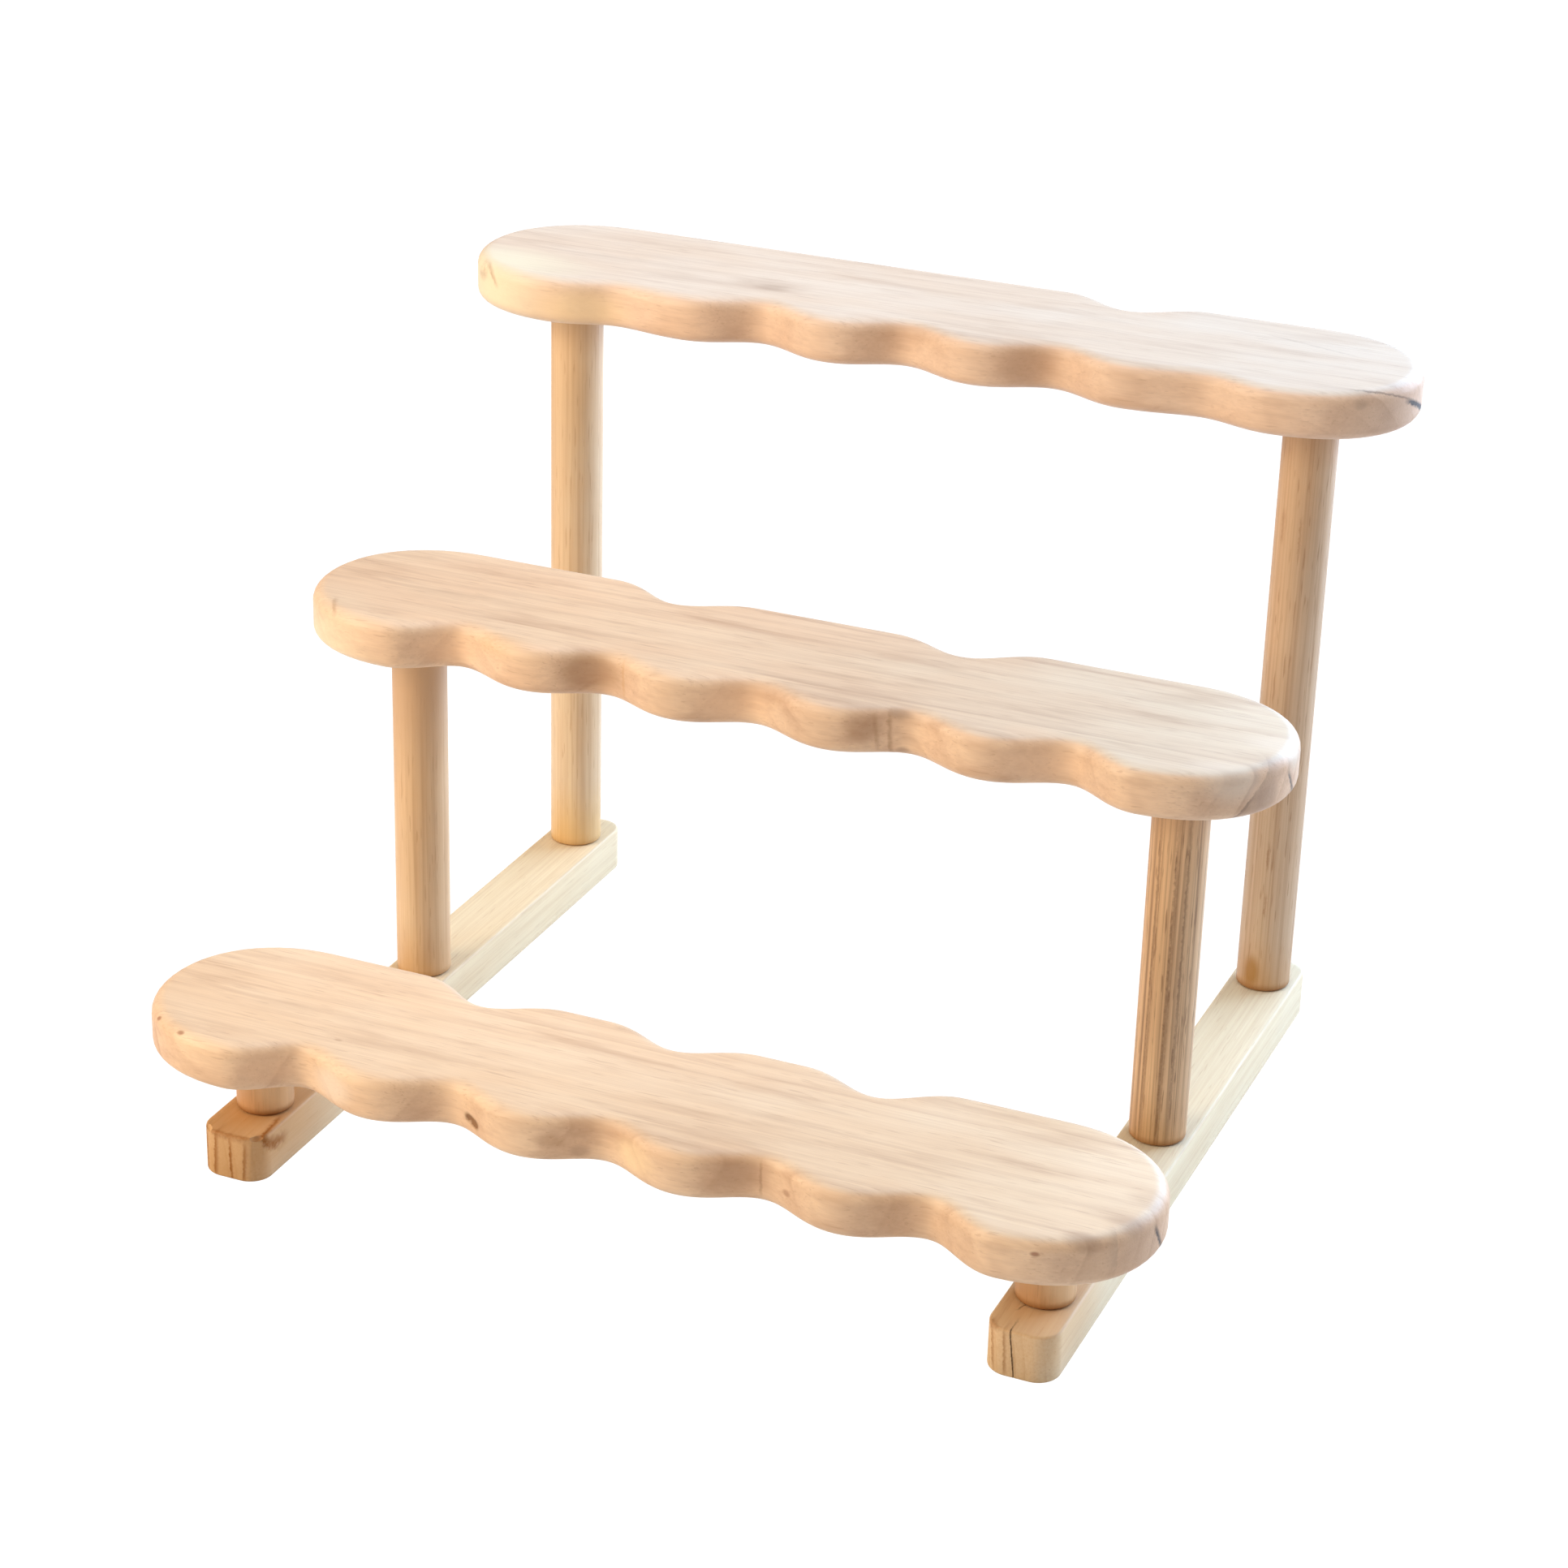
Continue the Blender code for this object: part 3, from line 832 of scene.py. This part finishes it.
# Painted shade beside each valley; on the middle board's front edge the hue makes it painted warm bounce
# light
def painted_valley_shade(step, back_valleys, middle):
    valley_shades = []
    for x, strength in zip(FRONT_VALLEYS, VALLEY_SHADE_STRENGTHS[step]):
        if strength:
            spot = (x - VALLEY_SHADE_ASIDE, middle.y - VALLEY_REACH, middle.z)
            valley_shades.append(Stain(spot, VALLEY_SHADE_REACH, strength, VALLEY_SHADE_HUES[step]))
    for x in back_valleys:
        spot = (x + VALLEY_SHADE_ASIDE, middle.y + VALLEY_REACH, middle.z)
        valley_shades.append(Stain(spot, VALLEY_SHADE_REACH, REAR_VALLEY_SHADE, VALLEY_SHADE_HUE))
    return valley_shades


# Painted shade along the lowest few millimetres of every edge, in the board's late-wood colour
def painted_under_shade(step, middle, underside):
    spot = (middle.x, middle.y, underside)
    late = BOARD_LOOKS[step]["late"]
    return Seam(spot, UPWARD, WHOLE_BOARD, UNDER_DEPTH, UNDER_RISE, UNDER_SHADE_STRENGTH[step], late)


print("painted valley shade reaches", 1000 * VALLEY_SHADE_REACH, "mm")

# %% [markdown]
# ## The three boards
# Now each board is put together: its outline, the gouge in the front one, two blind holes in its
# underside for the dowel screws, and its finish. The holes could be typed in, but the posts' axes are
# read from the frame, so the holes always meet those in the posts.

# %% Make the boards
BACK_VALLEYS = {"front": [-0.08, 0.0, 0.08], "middle": [-0.06, 0.06], "back": [0.073]}
SHALLOW_ENDS = {"front": False, "middle": False, "back": True}
GOUGE = Dent((-0.0518, -0.169, 0.0546), (0.875, -0.43, -0.22), 0.0042, 0.002, (0.0003, 0.0007, 0))
SIDES = ("left", "right")
UPPER_BORE = 0.0028
BOARD_BITE = 0.0125
DRILL_OVERRUN = 0.001


def post_axis(step, side):
    low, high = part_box(f"post_{step}_{side}")
    return (low + high) / 2


for step, back_valleys in BACK_VALLEYS.items():
    node = f"shelf_{step}"
    low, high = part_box(node)
    middle = (low + high) / 2
    shape = board_shape(node, back_valleys, SHALLOW_ENDS[step])
    if step == "front":
        press_dent(shape, GOUGE)
    board = as_object(f"{step}_board", shape)
    path = [(0, -DRILL_OVERRUN), (UPPER_BORE, -DRILL_OVERRUN), (UPPER_BORE, BOARD_BITE), (0, BOARD_BITE)]
    drill(board, path, [(*post_axis(step, side).xy, low.z) for side in SIDES])
    stains = [*BOARD_STAINS[step], *painted_valley_shade(step, back_valleys, middle)]
    seams = [*BOARD_SEAMS[step], painted_under_shade(step, middle, low.z)]
    marks = (BOARD_KNOTS[step], stains, seams)
    stand_in(board, pine(f"{step} board pine", node, BOARD_LOOKS[step], "x", *marks), node)

# %% [markdown]
# ## The posts
# A post is a length of dowel. Its profile runs up the screw hole in its foot, out to the rim, up the
# side and into the hole at its top, and a spin makes the rest. A cylinder with two Booleans would do
# too, but the spin leaves cleaner faces. A small bevel eases the outer rims, as sandpaper does.

# %% Turn the posts
POST_EASE = 0.0009
EASE_SEGMENTS = 3
LOWER_BORE = 0.0023
POST_BITE = 0.0115
OUTER_SHARE = 0.9


def post_shape(node):
    low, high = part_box(node)
    radius = (high.x - low.x) / 2
    height = high.z - low.z
    profile = [
        (0, POST_BITE), (LOWER_BORE, POST_BITE), (LOWER_BORE, 0), (radius, 0),
        (radius, height), (UPPER_BORE, height), (UPPER_BORE, height - POST_BITE), (0, height - POST_BITE),
    ]
    middle = (low + high) / 2
    shape = turned(profile, (middle.x, middle.y, low.z))
    rims = [
        edge for edge in rim_edges(shape)
        if all((vert.co.xy - middle.xy).length > OUTER_SHARE * radius for vert in edge.verts)
    ]
    round_over(shape, rims, POST_EASE, EASE_SEGMENTS)
    return shape


print("posts: rims eased by", 1000 * POST_EASE, "mm")

# %% [markdown]
# ## The wood of the posts
# Dowels are split from many planks, so each has its own tone: the two short ones are orange, the back
# left one is pale, and the two on the right are streaked, the middle one most of all. One look is shared
# and each post changes only what differs, which is shorter than six full lists.

# %% Choose the wood of the posts
FINE_STREAKS = (6.0, 380.0, 3.0, 0.46, 0.74)
THIN_STREAKS = (5.0, 720.0, 3.0, 0.46, 0.74)
POST_LOOK = {
    "heart": (0.03, -0.02), "ring": 0.004, "wander": 0.01, "contrast": 0.45,
    "streaks": FINE_STREAKS, "streak": 0.36, "fleck": 0.35, "end": 0.3, "gloss": 0.5,
    "pale": (0.8, 0.585, 0.35), "late": (0.47, 0.25, 0.105), "blush": (0.74, 0.49, 0.255),
}
ORANGE = {"pale": (0.73, 0.45, 0.235), "blush": (0.68, 0.39, 0.185)}
POST_TONES = {
    "front_left": ORANGE,
    "front_right": ORANGE,
    "middle_left": {},
    "middle_right": {
        "pale": (0.8, 0.532, 0.29), "late": (0.24, 0.12, 0.05), "blush": (0.64, 0.41, 0.21),
        "ring": 0.0032, "contrast": 0.8, "streaks": THIN_STREAKS, "streak": 0.82, "fleck": 0.65,
    },
    "back_left": {"pale": (0.806, 0.625, 0.395)},
    "back_right": {
        "pale": (0.665, 0.482, 0.302), "late": (0.38, 0.2, 0.085), "blush": (0.65, 0.42, 0.235),
        "contrast": 0.6, "streaks": THIN_STREAKS, "streak": 0.45, "fleck": 0.55,
    },
}
print("wood chosen for", len(POST_TONES), "posts")

# %% [markdown]
# ## Glue, shade and streaks on the posts
# Each post has a dark joint line and a glow of glue at its foot, and painted shadow on its head under its
# board. All six share these marks, so tables hold only what differs, and the places come from the frame.
# A run of glue, painted light on the right sides of the short posts and the dark streaks of two others
# have places of their own.

# %% Mark the posts
CHESTNUT = (0.34, 0.135, 0.03)
DARK_STREAK = (0.19, 0.09, 0.035)
GLUE = (0.44, 0.22, 0.055)
JOINT_REACH = 0.04
JOINT_BELOW = 0.001
JOINT_ABOVE = 0.0036
JOINT_TINT = {
    "front_left": 1.0, "middle_left": 0.4, "back_left": 0.3,
    "front_right": 0.9, "middle_right": 0.8, "back_right": 0.85,
}
USUAL_FOOT = (0.018, 0.65, AMBER)
GLUED_FEET = {
    "back_left": (0.02, 0.75, (0.8, 0.48, 0.13)),
    "front_left": (0.018, 0.45, AMBER),
    "front_right": (0.018, 0.45, AMBER),
}
# Painted shadow on the head of each post, where its board hangs over it
USUAL_HEAD_SHADOW = (0.018, 0.8, RUST)
SHADED_HEADS = {
    "middle_left": (0.038, 0.95, (0.56, 0.36, 0.2)),
    "front_left": (0.018, 0.4, RUST),
    "front_right": (0.018, 0.4, RUST),
}
POST_STAINS_AND_LIGHT = {
    "back_right": [Stain((0.1564, 0.1243, 0.0275), 0.005, 0.9, GLUE)],
    # Painted light on the right sides of the two short posts
    "front_left": [Stain((-0.15, -0.141, 0.033), 0.012, 0.4, SUNNY)],
    "front_right": [Stain((0.168, -0.141, 0.033), 0.012, 0.4, SUNNY)],
}
POST_SEAMS = {
    "middle_right": [
        Seam((0.1549, -0.0173, 0.09), (0.96, -0.29, 0.0), 0.09, 0.0009, 0.0011, 0.5, DARK_STREAK),
        Seam((0.1618, -0.0176, 0.085), (0.96, 0.29, 0.0), 0.09, 0.001, 0.0012, 0.6, DARK_STREAK),
        Seam((0.1657, -0.0158, 0.095), (0.77, 0.63, 0.0), 0.09, 0.0008, 0.001, 0.5, DARK_STREAK),
        Seam((0.15, -0.0133, 0.04), (0.58, -0.81, 0.0), 0.035, 0.0008, 0.001, 0.5, DARK_STREAK),
    ],
    "back_right": [
        Seam((0.1596, 0.1241, 0.0804), (1.0, 0.2, 0.0), 0.008, 0.0008, 0.001, 0.6, RUST),
        Seam((0.16, 0.1241, 0.0585), (1.0, 0.2, 0.0), 0.0065, 0.0008, 0.001, 0.55, RUST),
        Seam((0.1534, 0.1256, 0.2222), (1.0, -0.4, 0.0), 0.009, 0.0012, 0.0014, 0.45, RUST),
        Seam((0.1608, 0.1242, 0.219), (1.0, 0.2, 0.0), 0.011, 0.0008, 0.001, 0.45, RUST),
    ],
}
print("streaks:", sum(map(len, POST_SEAMS.values())))

# %% [markdown]
# ## The six posts
# A loop reads where each post's foot and head are and joins the shared marks with the post's own. Six
# copies of these lines would do too, but a change would have to be made six times.

# %% Make the posts
for step in BACK_VALLEYS:
    for side in SIDES:
        name = f"{step}_{side}"
        node = f"post_{name}"
        axis = post_axis(step, side).xy
        foot = (*axis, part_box(node)[0].z)
        head = (*axis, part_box(node)[1].z)
        glow = Stain(foot, *GLUED_FEET.get(name, USUAL_FOOT))
        shade = Stain(head, *SHADED_HEADS.get(name, USUAL_HEAD_SHADOW))
        joint = Seam(foot, UPWARD, JOINT_REACH, JOINT_BELOW, JOINT_ABOVE, JOINT_TINT[name], CHESTNUT)
        marks = ((), [glow, *POST_STAINS_AND_LIGHT.get(name, []), shade], [*POST_SEAMS.get(name, []), joint])
        look = {**POST_LOOK, **POST_TONES[name]}
        post = as_object(f"{name}_post", post_shape(node))
        stand_in(post, pine(f"{step} {side} post pine", node, look, "z", *marks), node)

# %% [markdown]
# ## The rails
# A rail is a planed bar whose four upright corners are rounded. A cube is scaled to the bar's box, its
# upright edges are bevelled wide, and then every rim gets a light bevel. The same could be extruded from
# an outline like the boards, but a bar with four equal corners needs no curve.

# %% Plane the rails
RAIL_CORNER = 0.009
CORNER_SEGMENTS = 14
RAIL_EASE = 0.001


def rail_shape(node):
    low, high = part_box(node)
    shape = bmesh.new()
    bmesh.ops.create_cube(shape, size=1.0)
    bmesh.ops.scale(shape, verts=shape.verts, vec=high - low)
    bmesh.ops.translate(shape, verts=shape.verts, vec=(low + high) / 2)
    uprights = [edge for edge in shape.edges if abs(edge.verts[0].co.z - edge.verts[1].co.z) > WELD]
    round_over(shape, uprights, RAIL_CORNER, CORNER_SEGMENTS)
    round_over(shape, rim_edges(shape), RAIL_EASE, EASE_SEGMENTS)
    border_flats(shape)
    return shape


print("rails: corners rounded by", 1000 * RAIL_CORNER, "mm")

# %% [markdown]
# ## A split and two chips
# The right rail's nose is split. Three leaning cuts mark the crack on the mesh, and the points on the
# middle cut are pushed back, which opens a thin wedge. A Boolean with a thin blade often fails on a gap
# this small. The left rail's nose has two chipped corners, which are dents like the gouge.

# %% Split the nose
CRACK_FOOT = 0.15808
CRACK_LEAN = (1.0, 0.0, 0.117)
CRACK_HALF_WIDTH = 0.0002
CRACK_DEPTH = 0.003
CHIPS = (
    Dent((-0.1692, -0.1608, 0.019), (0.7, -0.7, 0), 0.003, 0.0016, (0.0004, 0.0006, -0.0012)),
    Dent((-0.148, -0.16, 0.019), (0.7, 0.7, 0), 0.003, 0.0016, (-0.0004, 0.0006, -0.0012)),
)


def split_nose(shape, front):
    for offset in (-CRACK_HALF_WIDTH, 0.0, CRACK_HALF_WIDTH):
        everything = [*shape.verts, *shape.edges, *shape.faces]
        bmesh.ops.bisect_plane(
            shape, geom=everything, dist=WELD, plane_co=(CRACK_FOOT + offset, 0, 0), plane_no=CRACK_LEAN
        )
    lean = Vector(CRACK_LEAN)
    for vert in shape.verts:
        on_crack = abs(vert.co.dot(lean) - CRACK_FOOT) < WELD
        if on_crack and vert.co.y < front + CRACK_DEPTH:
            vert.co.y = front + CRACK_DEPTH
    bmesh.ops.remove_doubles(shape, verts=shape.verts, dist=WELD)


print("crack:", 2000 * CRACK_HALF_WIDTH, "mm wide,", 1000 * CRACK_DEPTH, "mm deep")

# %% [markdown]
# ## The wood of the rails
# The rails are the palest wood on the stand, nearly white towards the back, and the right one is whiter
# still, with a painted cool sheen on its top. Their noses are amber, which is painted shade and warm
# bounce light under the front board, with rusty lines in the end grain and a dark rim. That is one wide
# patch of painted shade over a pale bar, and a few seams. A second material there would show its border.

# %% Choose and mark the wood of the rails
RAIL_LOOK = {
    "heart": (0.09, -0.01), "ring": 0.0036, "wander": 0.005, "contrast": 0.26,
    "streaks": FINE_STREAKS, "streak": 0.14, "fleck": 0.2, "end": 0.14, "gloss": 0.2,
    "late": (0.48, 0.27, 0.12),
}
RAIL_TONES = {
    "left": {"pale": (0.845, 0.73, 0.5), "blush": (0.81, 0.66, 0.42)},
    "right": {"pale": (0.88, 0.775, 0.55), "blush": (0.85, 0.715, 0.475), "top_sheen": (0.0, 0.35)},
}
COPPER = (0.58, 0.26, 0.055)
RAIL_STAINS_AND_SHADE = {
    "left": [
        # Amber painted shade and bounce light on the nose, speck, copper round the post
        Stain((-0.159, -0.15, 0.016), 0.04, 0.66, AMBER),
        Stain((-0.148, -0.16, 0.0185), 0.002, 0.5, SPECK),
        Stain((-0.159, -0.135, 0.019), 0.017, 0.35, COPPER),
    ],
    "right": [
        # Tawny painted shade and bounce light on the nose, copper round the post
        Stain((0.159, -0.146, 0.018), 0.031, 0.42, TAWNY),
        Stain((0.159, -0.135, 0.019), 0.017, 0.25, COPPER),
    ],
}
LINE_START = 0.0008


def nose_line(x, y, z, lean, reach, after, strength):
    return Seam((x, y, z), (1.0, 0.0, lean), reach, LINE_START, after, strength, CHESTNUT)


RAIL_SEAMS = {
    "left": [
        # End grain, then a smear and the dark rim
        nose_line(-0.17, -0.1615, 0.008, 0.06, 0.015, 0.0014, 0.75),
        nose_line(-0.165, -0.163, 0.009, -0.04, 0.014, 0.002, 0.85),
        nose_line(-0.1582, -0.163, 0.007, 0.03, 0.014, 0.0012, 1.0),
        nose_line(-0.1526, -0.163, 0.008, -0.05, 0.012, 0.0016, 0.75),
        Seam((-0.147, -0.153, 0.018), (1.0, 0.1, 0.35), 0.015, 0.0016, 0.0016, 0.95, CHESTNUT),
        Seam((-0.159, -0.163, 0.019), (0.0, -0.7, 0.7), 0.016, 0.002, 0.001, 0.7, CHESTNUT),
    ],
    "right": [
        # Crack, end grain, drying check, dark rim
        Seam((0.1569, -0.163, 0.0105), CRACK_LEAN, 0.015, 0.0006, 0.0006, 0.7, BARK),
        nose_line(0.154, -0.163, 0.01, 0.05, 0.013, 0.0014, 0.55),
        nose_line(0.149, -0.161, 0.01, 0.1, 0.013, 0.0014, 0.6),
        Seam((0.1548, -0.1449, 0.019), (0.92, -0.39, 0.0), 0.0055, 0.0005, 0.0007, 0.6, BARK),
        Seam((0.1481, -0.1604, 0.019), (-0.5, -0.5, 0.7), 0.01, 0.002, 0.001, 0.55, CHESTNUT),
    ],
}
print("rail marks:", sum(map(len, [*RAIL_STAINS_AND_SHADE.values(), *RAIL_SEAMS.values()])))

# %% [markdown]
# ## The two rails
# Each rail gets its damage and three countersunk holes, which go up through it for the post screws. The
# drill's path is a profile again: wide for the head, a slope, then narrow for the shank.

# %% Make the rails
HEAD_BORE = 0.0043
HEAD_RIM = 0.001
HEAD_SLOPE = HEAD_BORE - LOWER_BORE

for side in SIDES:
    node = f"rail_{side}"
    low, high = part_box(node)
    shape = rail_shape(node)
    if side == "right":
        split_nose(shape, low.y)
    else:
        for chip in CHIPS:
            press_dent(shape, chip)
    rail = as_object(f"{side}_rail", shape)
    top = high.z + DRILL_OVERRUN
    path = [
        (0, -DRILL_OVERRUN), (HEAD_BORE, -DRILL_OVERRUN), (HEAD_BORE, HEAD_RIM),
        (LOWER_BORE, HEAD_RIM + HEAD_SLOPE), (LOWER_BORE, top), (0, top),
    ]
    drill(rail, path, [(*post_axis(step, side).xy, low.z) for step in BACK_VALLEYS])
    marks = ((), RAIL_STAINS_AND_SHADE[side], RAIL_SEAMS[side])
    look = {**RAIL_LOOK, **RAIL_TONES[side]}
    stand_in(rail, pine(f"{side} rail pine", node, look, "y", *marks), node)

# %% [markdown]
# ## The screws
# Six dowel screws hide between posts and boards, and six countersunk screws hold the posts from under
# the rails. Their solids already have the right shape, so they keep it and only get a finish: bright
# zinc that is slightly mottled and scratched.

# %% Zinc for the screws
ZINC_MOTTLE = (700.0, 700.0, 3.0, 0.35, 0.7)
ZINC_SCRATCHES = (5200.0, 5200.0, 2.0)
ZINC_DULL = (0.6, 0.61, 0.6)
ZINC_BRIGHT = (0.74, 0.73, 0.7)
ZINC_SMOOTH = 0.28
ZINC_ROUGHER = 0.16
ZINC_BUMP = {"Strength": 0.2, "Distance": 0.00005}


def zinc_steel():
    material, start = blank_material("zinc steel")
    place = start.node("TexCoord", output="Object")
    mottle = texture(place, *ZINC_MOTTLE)
    scratches = drawn_out(place, *ZINC_SCRATCHES)
    wanted = {
        "Base Color": mottle.tint(ZINC_DULL, ZINC_BRIGHT),
        "Metallic": 1.0,
        "Roughness": ZINC_SMOOTH + mottle * ZINC_ROUGHER,
        "Normal": start.node("Bump", {}, {**ZINC_BUMP, "Height": scratches}),
    }
    surface = start.node("BsdfPrincipled", {}, wanted)
    start.node("OutputMaterial", {}, {"Surface": surface})
    return material


zinc = zinc_steel()
screws = {name: solid for name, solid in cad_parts.items() if "screw" in name}
for solid in screws.values():
    solid.data.materials.clear()
    solid.data.materials.append(zinc)
print("screws:", len(screws))

# %% [markdown]
# ## The floor
# The photo was cut out on pure white. The floor is a pale sheet that burns out to that white, so to the
# camera it only glows. It still throws light up at the boards, which a plain white background would not.

# %% Lay the floor
FLOOR_HALF = 6.0
SHEET_PALE = (0.8, 0.8, 0.79)
WHITE = (1.0, 1.0, 1.0)
BURNT_OUT = 1.1


def pale_sheet():
    material, start = blank_material("pale sheet")
    seen = start.node("LightPath", output="Is Camera Ray")
    matt = start.node("BsdfDiffuse", {}, {"Color": SHEET_PALE})
    glow = start.node("Emission", {}, {"Color": WHITE, "Strength": BURNT_OUT})
    both = start.node("MixShader", {}, {0: seen, 1: matt, 2: glow})
    start.node("OutputMaterial", {}, {"Surface": both})
    return material


sheet = bmesh.new()
bmesh.ops.create_grid(sheet, x_segments=2, y_segments=2, size=FLOOR_HALF)
floor = as_object("floor", sheet)
floor.data.materials.append(pale_sheet())
floor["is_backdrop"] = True
print("floor:", 2 * FLOOR_HALF, "m wide")

# %% [markdown]
# ## The lights
# The stand was lit for a catalogue: a warm lamp at the front left, daylight from a broad window behind,
# a little from the right and from above. Sun lamps would draw hard shadows, so all four are broad area
# lights. Each is aimed at the middle of the stand and hidden from the camera.

# %% Hang the lights
LIGHTS = {
    "lamp": ((-1.15, -0.95, 0.75), (1.0, 0.9), 21.2, (1.0, 0.8, 0.59)),
    "back window": ((1.0, 1.9, 0.9), (2.0, 1.4), 91.0, (0.56, 0.73, 1.0)),
    "right wall": ((1.7, 0.4, 0.5), (1.4, 0.9), 4.2, (1.0, 1.0, 1.0)),
    "ceiling": ((0.0, 0.2, 1.8), (1.6, 1.2), 24.4, (0.65, 0.8, 1.0)),
}
AIM = Vector((0.0, 0.0, 0.12))

for name, (place, size, power, colour) in LIGHTS.items():
    lamp = bpy.data.lights.new(name, "AREA")
    lamp.shape = "RECTANGLE"
    lamp.size, lamp.size_y = size
    lamp.energy = power
    lamp.color = colour
    light = bpy.data.objects.new(name, lamp)
    light.location = place
    light.rotation_euler = (AIM - light.location).to_track_quat("-Z", "Y").to_euler()
    light.visible_camera = False
    bpy.context.scene.collection.objects.link(light)
    print(name, power, "W")

# %% [markdown]
# ## A white room
# A white room all round fills the shadows with a dim warm light. The camera sees it as pure white, and
# only the wood sees it dim. The Standard view keeps the colours as they are mixed, where a filmic view
# would grey the white.

# %% Paint the room
ROOM_LIGHT = 0.237
ROOM_COLOUR = (1.0, 0.81, 0.7)

room = bpy.data.worlds.new("white room")
room.use_nodes = True
room.node_tree.nodes.clear()
start = Grain(room.node_tree)
seen = start.node("LightPath", output="Is Camera Ray")
dim = start.node("Background", {}, {"Color": ROOM_COLOUR, "Strength": ROOM_LIGHT})
white = start.node("Background", {}, {"Color": WHITE, "Strength": 1.0})
both = start.node("MixShader", {}, {0: seen, 1: dim, 2: white})
start.node("OutputWorld", {}, {"Surface": both})
bpy.context.scene.world = room
bpy.context.scene.view_settings.view_transform = "Standard"
print("room light:", ROOM_LIGHT)

# %% [markdown]
# ## The size of the dressed stand
# The dressed stand has to fill the frame's box and no more. The last line prints the box of everything
# that renders, apart from the floor.

low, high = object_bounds()
print("visual box:", [round(side, 4) for side in high - low], "m")
